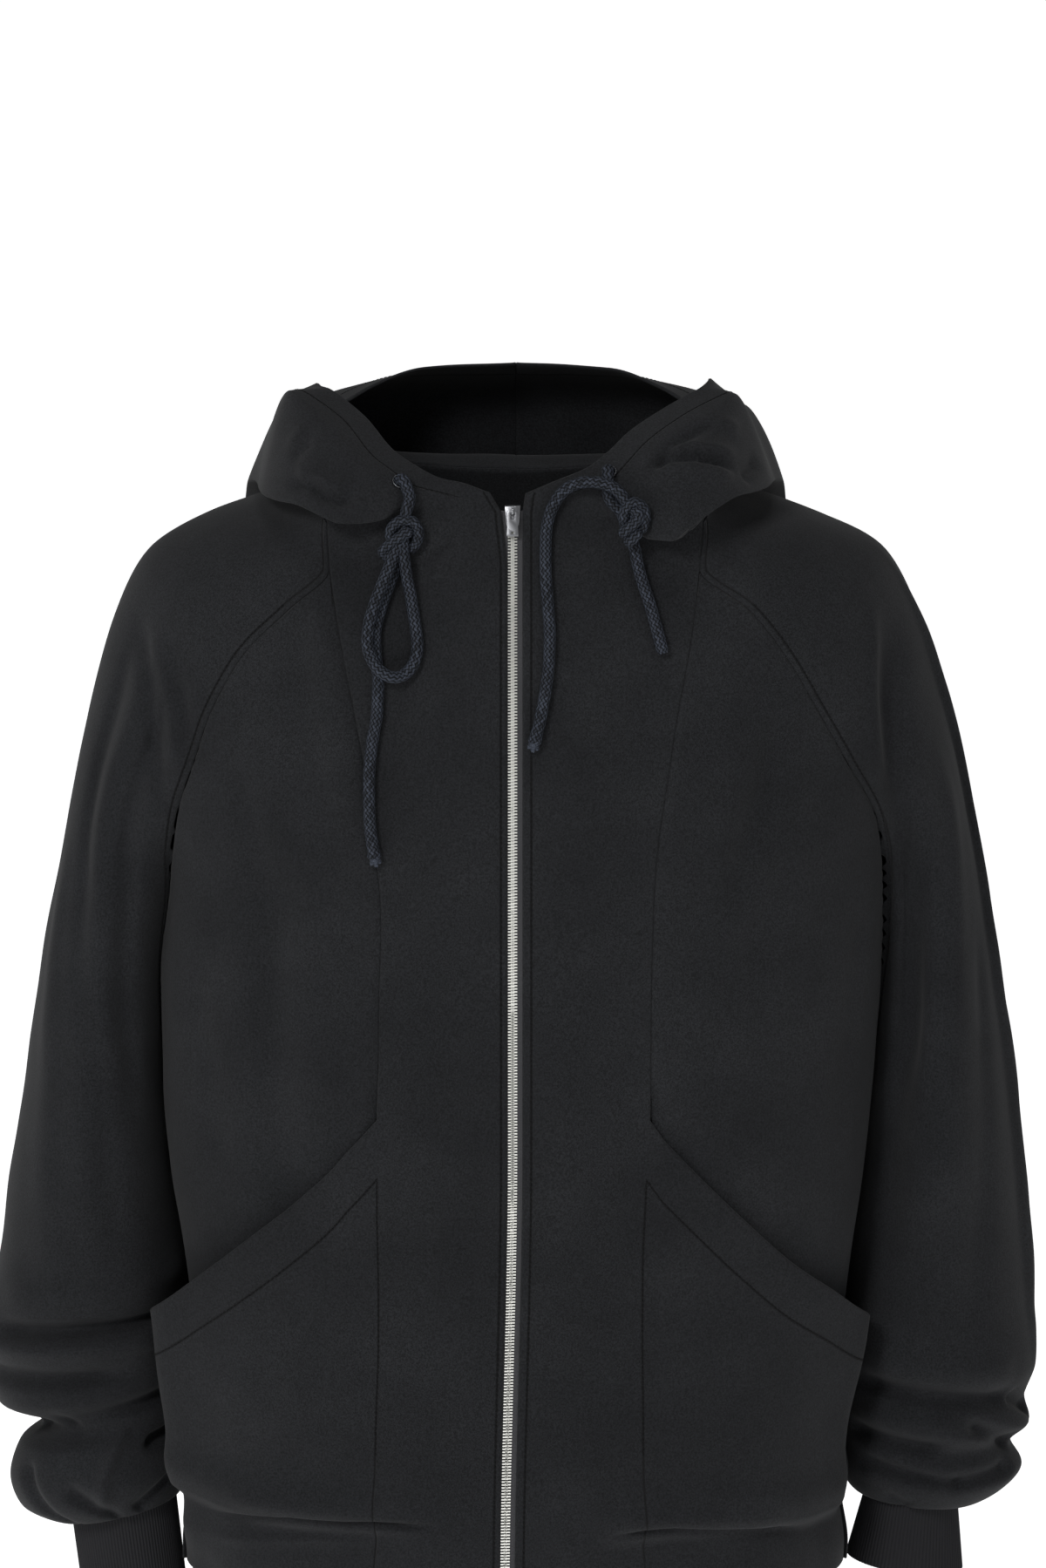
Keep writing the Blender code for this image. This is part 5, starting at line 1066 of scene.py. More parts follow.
def cuff_lines(name, side, dense):
    """First and last ring of a cuff, at the sleeve's last ring and at the rim."""
    turns = np.linspace(0, 1, dense)
    top = sleeve_ring(name, side, float(CUFF_ROW), turns)
    centre = top.mean(axis=0)
    away = top - centre
    top = top - away / np.linalg.norm(away, axis=1, keepdims=True) * 0.0009
    top[:, 2] -= 0.0008
    in_x, out_x, mid_y, in_z, out_z, half = CUFF_RIM[name]
    spread = (1 - np.cos(2 * math.pi * turns)) / 2
    rim = np.stack([side * (in_x + (out_x - in_x) * spread),
                    mid_y - half * np.sin(2 * math.pi * turns),
                    in_z + (out_z - in_z) * spread], axis=-1)
    return top, top + (rim - top)


def hem_line(z, inset):
    """The hem's outline at one height, from the zip round the back to the zip again."""
    halves = []
    for name, side in SIDES:
        edge = float(front_edge(name, z))
        start = float(angle_at(side, edge, z)) if side * edge > 0 else 0.0
        angle = np.linspace(start, 180.0, 120)
        half = body_point(side, angle, z, -inset)
        half[0, 0] = edge
        halves.append(half)
    return np.concatenate([halves[0], halves[1][-2::-1]])


def rib_band(name, lines, flip, closed, knit):
    """Shell of rib knit through lines of points: rounded ribs outside, plain inside."""
    long = np.linalg.norm(np.diff(lines[0], axis=0), axis=1).sum()
    ribs = round(long / RIB_PITCH)
    count = ribs * RIB_STEPS + 1
    rings = np.array([even_spaced(line, count) for line in lines])
    if closed:
        rings[:, -1] = rings[:, 0]
    points, loops, corners = join_grids([(rings, flip)])
    normals = share_normals({name: (points, loops)})[name]
    # Each rib's place round the band comes from its column.
    column = np.zeros(len(points))
    places = {}
    for k, point in enumerate(np.round(points * 2e5).astype(np.int64)):
        places[tuple(point)] = k
    for line in np.round(rings * 2e5).astype(np.int64):
        for j in range(count):
            column[places[tuple(line[j])]] = j / RIB_STEPS
    low = RIB_HIGH * (1 - np.abs(np.cos(math.pi * column))) ** 1.4
    edges = open_edges(loops)
    total = len(points)
    every = np.vstack([points - normals * low[:, None], points - normals * RIB_WALL])
    a, b = edges[:, 0], edges[:, 1]
    faces = np.concatenate([loops, loops[:, ::-1] + total, np.stack([b, a, a + total, b + total], axis=1)])
    uvs = np.concatenate([corners, corners[:, ::-1], np.zeros((len(edges), 4, 2))])
    made = mesh_piece(name, every, faces, uvs)
    made.data.materials.append(knit)
    return made


def rib_material():
    """Cotton rib knit: like the fleece, a shade darker between its ribs."""
    made, tree, shader = new_material("cotton_rib", "202022", 0.95)
    shader.inputs["Specular IOR Level"].default_value = 0.15
    # Stitches of the knit are 0.9 mm apart, which dulls the ribs' light sides.
    pile = add(tree, "ShaderNodeTexNoise", {"Scale": 1100.0, "Detail": 2.0},
               Vector=add(tree, "ShaderNodeTexCoord").outputs["Object"])
    bump = add(tree, "ShaderNodeBump", {"Strength": 0.4, "Distance": 0.0003}, Height=pile)
    tree.links.new(bump.outputs["Normal"], shader.inputs["Normal"])
    return made


def build_ribs():
    knit = rib_material()
    for name, side in SIDES:
        top, rim = cuff_lines(name, side, 241)
        lines = [top + (rim - top) * ease(t) for t in np.linspace(0, 1, 15)]
        inward = lines[0].mean(axis=0) - lines[0]
        inward /= np.linalg.norm(inward, axis=1)[:, None]
        lines.insert(0, lines[0] + inward * SEAM_TURN + (0.0, 0.0, SEAM_TURN))
        made = rib_band("rib_cuff_" + name, lines, side > 0, True, knit)
        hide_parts("cuff_" + name)
        declare_rib(made, lines)
    levels = np.linspace(HEM_TOP, HEM_END, 9)
    lines = [hem_line(HEM_TOP + SEAM_TURN, HEM_INSET + SEAM_TURN)]
    lines += [hem_line(z, HEM_INSET) for z in levels]
    made = rib_band("rib_hem", lines, False, False, knit)
    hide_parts("hem_rib")
    declare_rib(made, lines)


def declare_rib(made, lines):
    """Rides the garment."""
    lines = np.array(lines)
    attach(made, "garment")


build_ribs()

# ================================================================== zip
# A closed metal zip: two rows of stamped teeth clamped on black woven tapes, drawn together by a
# cast slider with a flat pull tab. It is stitched behind the turned edges of the fronts.

# The zip's own middle line, and the sizes of the chain and tapes.
ZIP_CENTRE = -0.0020
CHAIN_WIDE = 0.0058
CHAIN_THICK = 0.0024
TAPE_WIDE = 0.0110
TAPE = 0.0010           # wall of the zip tape
ZIP_BEHIND = 0.0032     # the chain's middle lies this far behind the face of the fronts
ZIP_TOP = -0.0030
ZIP_END = -0.7495
TOOTH_PITCH = 0.00193   # from one tooth to the next of its row
TOOTH_HIGH = 0.00088    # height of a tooth
TOOTH_PAST = 0.0006     # how far a tooth's head reaches past the middle line


def zip_point(offset, z, forward):
    """Point at a distance beside the chain's middle line, moved forward of its plane."""
    x = ZIP_CENTRE + zip_shift(z) + offset
    y = np.array([front_y(0.0, float(h)) for h in z]) + ZIP_BEHIND - forward
    return np.stack([x + 0 * z, y, z], axis=-1)


def node_group(name, sockets):
    """A Geometry Nodes group with a geometry input and output and these named number inputs."""
    group = bpy.data.node_groups.new(name, "GeometryNodeTree")
    group.interface.new_socket("Geometry", in_out="INPUT", socket_type="NodeSocketGeometry")
    for label, kind, value in sockets:
        socket = group.interface.new_socket(label, in_out="INPUT", socket_type=kind)
        socket.default_value = value
    group.interface.new_socket("Geometry", in_out="OUTPUT", socket_type="NodeSocketGeometry")
    return group, add(group, "NodeGroupInput"), add(group, "NodeGroupOutput")


def bake(source, group, values, name):
    """Runs a node group on an object with these input values and gives the result as a plain mesh."""
    modifier = source.modifiers.new(group.name, "NODES")
    modifier.node_group = group
    for item in group.interface.items_tree:
        if item.item_type == "SOCKET" and item.in_out == "INPUT" and item.name in values:
            modifier[item.identifier] = values[item.name]
    bpy.context.view_layer.update()
    graph = bpy.context.evaluated_depsgraph_get()
    mesh = bpy.data.meshes.new_from_object(source.evaluated_get(graph))
    bpy.data.objects.remove(source)
    return put(name, mesh)


def line_object(name, lines):
    """Mesh of bare edges along lines of points."""
    mesh = bpy.data.meshes.new(name)
    points, edges = [], []
    for line in lines:
        first = len(points)
        points += [tuple(p) for p in line]
        edges += [(first + k, first + k + 1) for k in range(len(line) - 1)]
    mesh.from_pydata(points, edges, [])
    return put(name, mesh)


def teeth_group():
    """Teeth along a line: a clamp on the tape and a rounded head that reaches past the middle."""
    group, start, end = node_group("zip_teeth", (
        ("Pitch", "NodeSocketFloat", TOOTH_PITCH), ("Reach", "NodeSocketFloat", 0.003),
        ("High", "NodeSocketFloat", TOOTH_HIGH), ("Deep", "NodeSocketFloat", CHAIN_THICK),
        ("Side", "NodeSocketFloat", 1.0), ("Metal", "NodeSocketMaterial", None)))
    _, pitch, reach, high, deep, side, metal, _ = start.outputs
    curve = add(group, "GeometryNodeMeshToCurve", Mesh=start)
    even = add(group, "GeometryNodeResampleCurve", {"mode": "LENGTH"}, Curve=curve, Length=pitch)
    lean = add(group, "FunctionNodeAlignRotationToVector", {"axis": "Z", "pivot_axis": "X"},
               Vector=add(group, "GeometryNodeInputTangent"))
    bar = add(group, "GeometryNodeMeshCube", Size=add(group, "ShaderNodeCombineXYZ", X=reach, Y=deep, Z=high))
    wide = add(group, "ShaderNodeMath", {"operation": "MULTIPLY", 0: high, 1: 0.72})
    head = add(group, "GeometryNodeMeshCylinder", {"Vertices": 10}, Radius=wide, Depth=deep)
    half = add(group, "ShaderNodeMath", {"operation": "MULTIPLY", 0: reach, 1: -0.5})
    sided = add(group, "ShaderNodeMath", {"operation": "MULTIPLY", 0: half, 1: side})
    turned = add(group, "GeometryNodeTransform", {"Rotation": (math.pi / 2, 0, 0)}, Geometry=head,
                 Translation=add(group, "ShaderNodeCombineXYZ", X=sided))
    both = add(group, "GeometryNodeJoinGeometry", Geometry=bar)
    group.links.new(turned.outputs["Geometry"], both.inputs["Geometry"])
    placed = add(group, "GeometryNodeInstanceOnPoints", Points=even, Instance=both, Rotation=lean)
    real = add(group, "GeometryNodeRealizeInstances", Geometry=placed)
    done = add(group, "GeometryNodeSetMaterial", Geometry=real, Material=metal)
    group.links.new(done.outputs["Geometry"], end.inputs["Geometry"])
    return group


def metal_material(name, code, roughness):
    """Cast or stamped metal, its light part shown through small scratches."""
    made, tree, shader = new_material(name, code, roughness, 1.0)
    # Scratches are 0.7 mm long, coarser than real ones, so that they break the shine.
    grain = add(tree, "ShaderNodeTexNoise", {"Scale": 1500.0, "Detail": 2.0},
                Vector=add(tree, "ShaderNodeTexCoord").outputs["Object"])
    bump = add(tree, "ShaderNodeBump", {"Strength": 0.15, "Distance": 0.0001}, Height=grain)
    tree.links.new(bump.outputs["Normal"], shader.inputs["Normal"])
    return made


def tape_material():
    """Woven polyester tape: black, with a fine warp along its length."""
    made, tree, shader = new_material("zip_tape", "2C2C2F", 0.8)
    cloth = add(tree, "ShaderNodeUVMap", {"uv_map": "cloth"})
    # Warp threads are 0.8 mm apart and weft threads 1.1 mm; a wave repeats every 2 pi / (20 x scale).
    threads = [add(tree, "ShaderNodeTexWave", {"bands_direction": way, "Scale": 2 * math.pi / pitch / 20.0},
                   Vector=cloth).outputs["Fac"] for way, pitch in (("X", 0.0008), ("Y", 0.0011))]
    both = add(tree, "ShaderNodeMath", {"operation": "MULTIPLY", 0: threads[0], 1: threads[1]})
    bump = add(tree, "ShaderNodeBump", {"Strength": 0.5, "Distance": 0.0003}, Height=both)
    tree.links.new(bump.outputs["Normal"], shader.inputs["Normal"])
    return made


def build_teeth():
    metal = metal_material("zip_teeth_metal", "D4D4CE", 0.30)
    group = teeth_group()
    reach = CHAIN_WIDE / 2 + TOOTH_PAST
    rows = []
    for name, side in SIDES:
        top = ZIP_TOP - (0.0012 if side < 0 else 0.0012 + TOOTH_PITCH / 2)
        z = np.linspace(top, ZIP_END + 0.0006, 260)
        line = zip_point(side * (reach / 2 - TOOTH_PAST), z, 0.0)
        rows.append(bake(line_object("tooth_line", [line]), group,
                         {"Reach": reach, "Side": float(side), "Metal": metal}, "teeth_" + name))
    made = join_pieces("zip_teeth", rows)
    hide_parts("zip_chain")
    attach(made, "garment")


def join_pieces(name, pieces):
    """Joins meshes at the origin into one object."""
    whole = bmesh.new()
    for piece in pieces:
        whole.from_mesh(piece.data)
    mesh = bpy.data.meshes.new(name)
    whole.to_mesh(mesh)
    whole.free()
    for used in pieces[0].data.materials:
        mesh.materials.append(used)
    for piece in pieces:
        bpy.data.objects.remove(piece)
    return put(name, mesh)


def build_tapes():
    woven = tape_material()
    z = np.linspace(ZIP_TOP, ZIP_END, 150)
    for name, side in SIDES:
        # The tape's beaded edge lies under the teeth, and its free edge behind the front.
        offsets = side * np.array([0.0008, 0.0014, 0.0022, CHAIN_WIDE / 2 + 0.0003, 0.0060,
                                   CHAIN_WIDE / 2 + 0.0003 + TAPE_WIDE])
        grid = np.stack([zip_point(x, z, TAPE / 2) for x in offsets], axis=1)
        points, loops, corners = join_grids([(grid, side > 0)])
        normals = share_normals({name: (points, loops)})[name]
        made = cloth_shell("woven_tape_" + name, points, loops, corners, normals, 0.0, TAPE)
        made.data.materials.append(woven)
        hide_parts("zip_tape_" + name)
        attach(made, "garment")


def softened(node, name, metal, width, body):
    """A finer copy of a metal CAD part, its edges rounded."""
    made = put(name, bpy.data.objects[node].data.copy())
    made.matrix_world = bpy.data.objects[node].matrix_world
    mesh = bmesh.new()
    mesh.from_mesh(made.data)
    mesh.transform(made.matrix_world)
    bmesh.ops.remove_doubles(mesh, verts=mesh.verts, dist=1e-6)
    bmesh.ops.dissolve_limit(mesh, angle_limit=math.radians(2), verts=mesh.verts, edges=mesh.edges)
    sharp = [e for e in mesh.edges if len(e.link_faces) == 2 and e.calc_face_angle() > math.radians(25)]
    bmesh.ops.bevel(mesh, geom=sharp, offset=width, segments=2, profile=0.5, affect="EDGES",
                    clamp_overlap=True)
    bmesh.ops.triangulate(mesh, faces=mesh.faces)
    for face in mesh.faces:
        face.smooth = True
    mesh.to_mesh(made.data)
    mesh.free()
    made.matrix_world.identity()
    made.data.materials.clear()
    made.data.materials.append(metal)
    made.data.set_sharp_from_angle(angle=math.radians(50))
    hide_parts(node)
    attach(made, body)


def build_slider():
    cast = metal_material("slider_metal", "7E7F82", 0.36)
    softened("zip_slider", "slider", cast, 0.00018, "garment")
    softened("zip_pull", "pull_tab", cast, 0.00020, "pull")


build_teeth()
build_tapes()
build_slider()

# ================================================================== topstitching
# Black thread through all layers, 3 mm to a stitch: beside the zip, along the hood's channel, on the
# sleeve side of the raglan seams, under each pocket's turned mouth and down its inner edge.
STITCH_PITCH = 0.0033   # from one stitch to the next
STITCH_LONG = 0.0026
STITCH_THICK = 0.00030
STITCH_RISE = 0.0001    # height of a stitch's middle over the cloth
POCKET_END = -0.600     # the pocket's inner edge is sewn down to here


def stitch_group():
    """Stitches along a line: small rounded beads of thread, each a little off straight."""
    group, start, end = node_group("stitches", (
        ("Pitch", "NodeSocketFloat", STITCH_PITCH), ("Long", "NodeSocketFloat", STITCH_LONG),
        ("Thick", "NodeSocketFloat", STITCH_THICK), ("Seed", "NodeSocketInt", 5),
        ("Thread", "NodeSocketMaterial", None)))
    _, pitch, long, thick, seed, thread, _ = start.outputs
    curve = add(group, "GeometryNodeMeshToCurve", Mesh=start)
    even = add(group, "GeometryNodeResampleCurve", {"mode": "LENGTH"}, Curve=curve, Length=pitch)
    lean = add(group, "FunctionNodeAlignRotationToVector", {"axis": "Z"},
               Vector=add(group, "GeometryNodeInputTangent"))
    stray = add(group, "FunctionNodeRandomValue", {"data_type": "FLOAT_VECTOR", 0: (-0.07, -0.07, 0.0),
                                                   1: (0.07, 0.07, 0.0)}, Seed=seed)
    turned = add(group, "FunctionNodeRotateRotation", {"rotation_space": "LOCAL", "Rotate By": stray},
                 Rotation=lean)
    half = add(group, "ShaderNodeMath", {"operation": "MULTIPLY", 0: long, 1: 0.5})
    size = add(group, "ShaderNodeCombineXYZ", X=thick, Y=thick, Z=half)
    bead = add(group, "GeometryNodeMeshUVSphere", {"Segments": 6, "Rings": 5, "Radius": 1.0})
    placed = add(group, "GeometryNodeInstanceOnPoints", Points=even, Instance=bead, Rotation=turned,
                 Scale=size)
    real = add(group, "GeometryNodeRealizeInstances", Geometry=placed)
    round_off = add(group, "GeometryNodeSetShadeSmooth", Geometry=real)
    done = add(group, "GeometryNodeSetMaterial", Geometry=round_off, Material=thread)
    group.links.new(done.outputs["Geometry"], end.inputs["Geometry"])
    return group


def across_line(grid, distance, rows, from_last=False):
    """Line of points this far along each row of a grid, from its first or last column."""
    line = []
    for row in rows:
        points = grid[row][::-1] if from_last else grid[row]
        line.append(spots_at(points, run_along(points), distance))
    return np.array(line)


def laid_on(name, line):
    """The line moved onto the outer face of a finished cloth piece."""
    tree = CLOTH_TREES[name]
    laid = []
    for point in line:
        near, normal, _, _ = tree.find_nearest(Vector(point))
        laid.append(near + normal * STITCH_RISE)
    return laid


def thread_material():
    """Spun polyester thread: black, duller than the cloth."""
    made, _, shader = new_material("sewing_thread", "0C0C0D", 0.85)
    shader.inputs["Specular IOR Level"].default_value = 0.12
    return made


def build_stitches():
    thread = thread_material()
    group = stitch_group()
    whole = FINE_ROWS * LAST_ROW + 1
    for name, _ in SIDES:
        grids = CLOTH_GRIDS[name]
        pocket = grids["pocket"]
        count = np.arange(len(pocket))
        mouth = []
        for j, (band, run) in enumerate(zip(mouth_band(pocket), run_down(pocket).T)):
            row = np.interp(band, run, count)
            mouth.append([np.interp(row, count, pocket[:, j, k]) for k in range(3)])
        inner = pocket[:, 0]
        seam_rows = range(3 * FINE_ROWS, UNDERARM_ROW * FINE_ROWS - 4)
        sewn = {
            "front_": (
                across_line(grids["chest"], PLACKET[name], range(whole)),
                across_line(grids["hood"], CHANNEL, range(4, len(grids["hood"]))),
                mouth[:-2],
                inner[(inner[:, 2] < inner[0, 2] - MOUTH_BAND[0]) & (inner[:, 2] > POCKET_END)]),
            "sleeve_": (
                across_line(grids["sleeve"], RAGLAN, seam_rows),
                across_line(grids["sleeve"], RAGLAN, seam_rows, True)),
        }
        for panel, lines in sewn.items():
            lines = line_object("stitch_line", [laid_on(panel + name, line) for line in lines])
            made = bake(lines, group, {"Thread": thread}, "stitches_" + panel + name)
            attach(made, "garment")


build_stitches()

# ================================================================== hood cord
# Braided cotton cord, 7.5 mm thick, navy and black yarns over a soft core. It leaves the hood's
# channel through two gunmetal eyelets; each side is tied, and the ends are cut and left to fray.
CORD = 0.0075           # diameter of the hood cord
EYELET_RIM = 0.0010     # width of the eyelet's ring
EYELET_HIGH = 0.0008    # how far its face stands out
EYELET_HOLE = CORD / 2 + 0.0002     # radius of its hole
EXIT_RISE = 0.0016      # the cord leaves its eyelet straight up to here
EXIT_BEND = 0.0046      # then bends over on this radius
# Eyelets by x and z, and knots by x, z and height over the cloth.
EYELETS = {"right": (-0.0724, 0.0150), "left": (0.0583, 0.0201)}
KNOTS = {"right": (-0.0693, -0.0171, 0.0062), "left": (0.0737, -0.0069, 0.0062)}

# Strands that show round each knot, in metres from the knot's middle.
KNOT_STRANDS = {
    "right": table("""strand across up out
    1 -.0085 -.0035 .0005
    1  -.008   .004 .0015
    1  -.002  .0095 .0022
    1   .005  .0088 .0022
    1  .0085  .0025 .0018
    1   .007  -.005  .001
    1   .002 -.0095 .0005
    2  .0045  .0038 .0035
    2  -.001  .0008 .0052
    2 -.0065 -.0035 .0046
    2  -.012 -.0085 .0025
    2 -.0152 -.0122 .0005
    3 -.0015 -.0062  .003
    3  -.007 -.0098 .0035
    3 -.0128  -.015  .001"""),
    "left": table("""strand across up out
    1  -.006  -.001 .0015
    1 -.0058  .0065  .002
    1      0  .0118 .0022
    1  .0056  .0078  .002
    1  .0062      0 .0015
    1  .0034 -.0068  .001
    2 -.0015   .008 .0035
    2  .0028  .0042 .0048
    2  .0002      0 .0052
    2 -.0045 -.0045 .0046
    2 -.0086 -.0088 .0025
    3  .0036 -.0048 .0035
    3 -.0005 -.0096  .004
    3 -.0056  -.014 .0025"""),
}

# Each stretch of cord by its middle line: x, z and its height above the cloth.
STRETCHES = {
    "cord_drop_right": table("""x z height
    -.0671  .0107  .006
     -.066  .0055 .0063
    -.0676 -.0003 .0066
    -.0692 -.0064  .007
    -.0698 -.0135  .007"""),
    "cord_loop_right": table("""x z height
    -.0735 -.0249   .01
    -.0778 -.0337 .0118
    -.0824 -.0448 .0114
    -.0874 -.0575 .0108
    -.0916 -.0724 .0108
    -.0912 -.0871 .0114
    -.0852 -.0975 .0122
    -.0778 -.1022 .0108
    -.0704 -.1019 .0065
    -.0645 -.0968 .0044
    -.0612 -.0862 .0043
    -.0623  -.073 .0043
    -.0648 -.0571  .005
    -.0674 -.0435  .008
    -.0688 -.0342 .0109
      -.07  -.026 .0095"""),
    "cord_tail_right": table("""x z height
    -.0715 -.0282  .005
    -.0742 -.0362 .0043
     -.079 -.0479 .0042
    -.0834   -.06 .0042
    -.0871 -.0743 .0042
    -.0871 -.0892 .0042
    -.0855 -.1041 .0042
    -.0858 -.1159 .0042
    -.0866 -.1287 .0042
    -.0887 -.1401 .0042
    -.0905 -.1536 .0042
    -.0914 -.1753 .0042
    -.0903 -.1998 .0042
    -.0878 -.2162 .0052"""),
    "cord_drop_left": table("""x z height
    .0576  .0143 .0058
    .0574  .0091  .006
    .0592  .0044 .0065
    .0636  .0003  .007
    .0684 -.0031  .007"""),
    "cord_long_left": table("""x z height
    .0727 -.0026  .008
    .0683  .0056 .0115
    .0651  .0099 .0134
    .0613  .0134 .0138
    .0548  .0159 .0138
    .0473  .0169 .0125
    .0381  .0151 .0095
      .03  .0104 .0065
    .0238  .0017 .0046
    .0197 -.0096 .0042
    .0186 -.0233 .0042
    .0186 -.0397 .0042
    .0199 -.0575 .0042
    .0211  -.076 .0042
    .0205  -.095 .0042
     .018 -.1143 .0042
    .0148 -.1308 .0042
    .0113  -.144 .0052"""),
    "cord_short_left": table("""x z height
    .0727 -.0147  .007
    .0739 -.0243 .0065
     .075 -.0308 .0055
    .0772   -.04 .0043
    .0837   -.06 .0042
    .0884 -.0765 .0042
    .0918 -.0892 .0042"""),
}

YARNS = 8               # yarns of the braid that run each way
YARN_STEP = 0.0036      # length of cord between two crossings
BRAID_STEP = 0.0006     # length of a face along the cord
BRAID_SIDES = 48        # faces round the cord


def through(keys, points, at):
    """Smooth curve through a route's own points."""
    keys = np.asarray(keys, float)
    slope = np.gradient(points, keys, axis=0)
    k = np.clip(np.searchsorted(keys, at, side="right") - 1, 0, len(keys) - 2)
    step = np.asarray(keys[k + 1] - keys[k])[..., None]
    t = np.asarray(at - keys[k])[..., None] / step
    low = (2 * t**3 - 3 * t**2 + 1) * points[k] + (t**3 - 2 * t**2 + t) * step * slope[k]
    high = (3 * t**2 - 2 * t**3) * points[k + 1] + (t**3 - t**2) * step * slope[k + 1]
    return low + high


def above(cloth, x, z, height):
    """Point over the cloth at x and z, this far from it."""
    hit, normal, _, _ = cloth.ray_cast(Vector((x, -0.3, z)), Vector((0, 1, 0)))
    if hit is None:
        # Over the hood's rim there is no cloth behind, so the nearest serves.
        hit, normal, _, _ = cloth.find_nearest(Vector((x, -0.1, z)))
    point = hit + Vector((0, height / min(normal.y, -0.6), 0))
    for _ in range(6):
        near, _, _, gap = cloth.find_nearest(point)
        if gap < height:
            point += (point - near).normalized() * (height - gap)
    return point


def eyelet_frame(cloth, side):
    """Middle of an eyelet on the cloth, and the way out of it."""
    x, z = EYELETS[side]
    hit, _, _, _ = cloth.ray_cast(Vector((x, -0.3, z)), Vector((0, 1, 0)))
    out = Vector((0, 0, 0))
    for turn in np.linspace(0, 2 * math.pi, 12, endpoint=False):
        dx, dz = 0.004 * math.cos(turn), 0.003 * math.sin(turn)
        near = cloth.find_nearest(hit + Vector((dx, 0, dz)))
        out += near[1] if near[1].y < 0 else -near[1]
    return hit, out.normalized()


def seat(cloth, points, out, gap, start=0.008, step=0.0002):
    """Lowers points onto the cloth from above until the nearest of them is this far from it."""
    points = [Vector(point) + out * start for point in points]
    while min(cloth.find_nearest(point)[3] for point in points) > gap + step:
        points = [point - out * step for point in points]
    return points


def lying_cloth():
    """Search tree over the finished panels that the cord lies on."""
    points, faces = [], []
    for name in ("front_right", "front_left", "side_front_right", "side_front_left"):
        mesh = bpy.data.objects["cloth_" + name].data
        first = len(points)
        points += [vertex.co.copy() for vertex in mesh.vertices]
        faces += [[first + k for k in face.vertices] for face in mesh.polygons]
    return BVHTree.FromPolygons(points, faces)


def even_route(keys, step):
    """Evenly spaced points along a smooth curve through the keys, and its length."""
    keys = np.array([tuple(key) for key in keys])
    run = run_along(keys)
    dense = through(run, keys, np.linspace(0, run[-1], int(run[-1] / 0.0002)))
    long = run_along(dense)[-1]
    return even_spaced(dense, max(3, round(long / step) + 1)), long


def carried_frames(route):
    """Two directions across a route at each point, carried along it without twist."""
    along = np.gradient(route, axis=0)
    along /= np.linalg.norm(along, axis=1, keepdims=True)
    across = np.zeros_like(route)
    start = np.cross(along[0], (0.0, -1.0, 0.0))
    across[0] = start / np.linalg.norm(start)
    for k in range(1, len(route)):
        step = across[k - 1] - along[k] * np.dot(across[k - 1], along[k])
        across[k] = step / np.linalg.norm(step)
    return along, across, np.cross(along, across)


def braided_tube(route, thick, sides=BRAID_SIDES, radius=CORD / 2, yarns=YARNS):
    """Points, faces and yarn tones of a tube whose surface is a diagonal one-over-one braid; the tones hold
    painted shade between the yarns.
    """
    _, across, up = carried_frames(route)
    count = len(route)
    s = np.arange(count)[:, None] * np.linalg.norm(route[1] - route[0])
    turn = np.arange(sides)[None] / sides
    u = yarns * turn + s / YARN_STEP
    v = yarns * turn - s / YARN_STEP
    over = (np.floor(u) + np.floor(v)) % 2 < 1
    offset = np.where(over, u - np.floor(u) - 0.5, v - np.floor(v) - 0.5)
    high = np.cos(math.pi * offset) ** 0.7
    reach = radius * np.asarray(thick)[:, None] * (0.86 + 0.14 * high)
    angle = 2 * math.pi * turn
    points = (route[:, None] + across[:, None] * (reach * np.cos(angle))[..., None]
              + up[:, None] * (reach * np.sin(angle))[..., None])
    lead = np.where(over, np.floor(u) * 7.31, np.floor(v) * 5.17 + 3.3)
    # Painted shade: each yarn's tone, which differs at random between yarns, darkens with the yarn's height
    # toward the gaps.
    tone = (0.62 + 0.38 * (np.sin(lead * 12.9898) * 43758.5453 % 1.0)) * high
    ids = np.arange(count * sides).reshape(count, sides)
    after = np.roll(ids, -1, axis=1)
    faces = np.stack([ids[:-1], after[:-1], after[1:], ids[1:]], axis=-1).reshape(-1, 4)
    caps = [route[0], route[-1]]
    first, last = count * sides, count * sides + 1
    start = np.stack([ids[0], np.full(sides, first), np.full(sides, first), after[0]], axis=1)
    end = np.stack([ids[-1], after[-1], np.full(sides, last), np.full(sides, last)], axis=1)
    return (np.vstack([points.reshape(-1, 3), caps]), np.concatenate([faces, start, end]),
            np.concatenate([tone.reshape(-1), [0.1, 0.1]]))


def tube_piece(name, tubes, cord):
    """One object of one or more braided tubes, with the yarns' tones, painted shade included, as an
    attribute.
    """
    points, faces, tones, first = [], [], [], 0
    for part, loops, tone in tubes:
        points.append(part)
        faces.append(loops + first)
        tones.append(tone)
        first += len(part)
    made = mesh_piece(name, np.vstack(points), np.concatenate(faces)[:, ::-1])
    layer = made.data.attributes.new("yarn", "FLOAT", "POINT")
    layer.data.foreach_set("value", np.concatenate(tones).astype(np.float32))
    made.data.materials.append(cord)
    return made


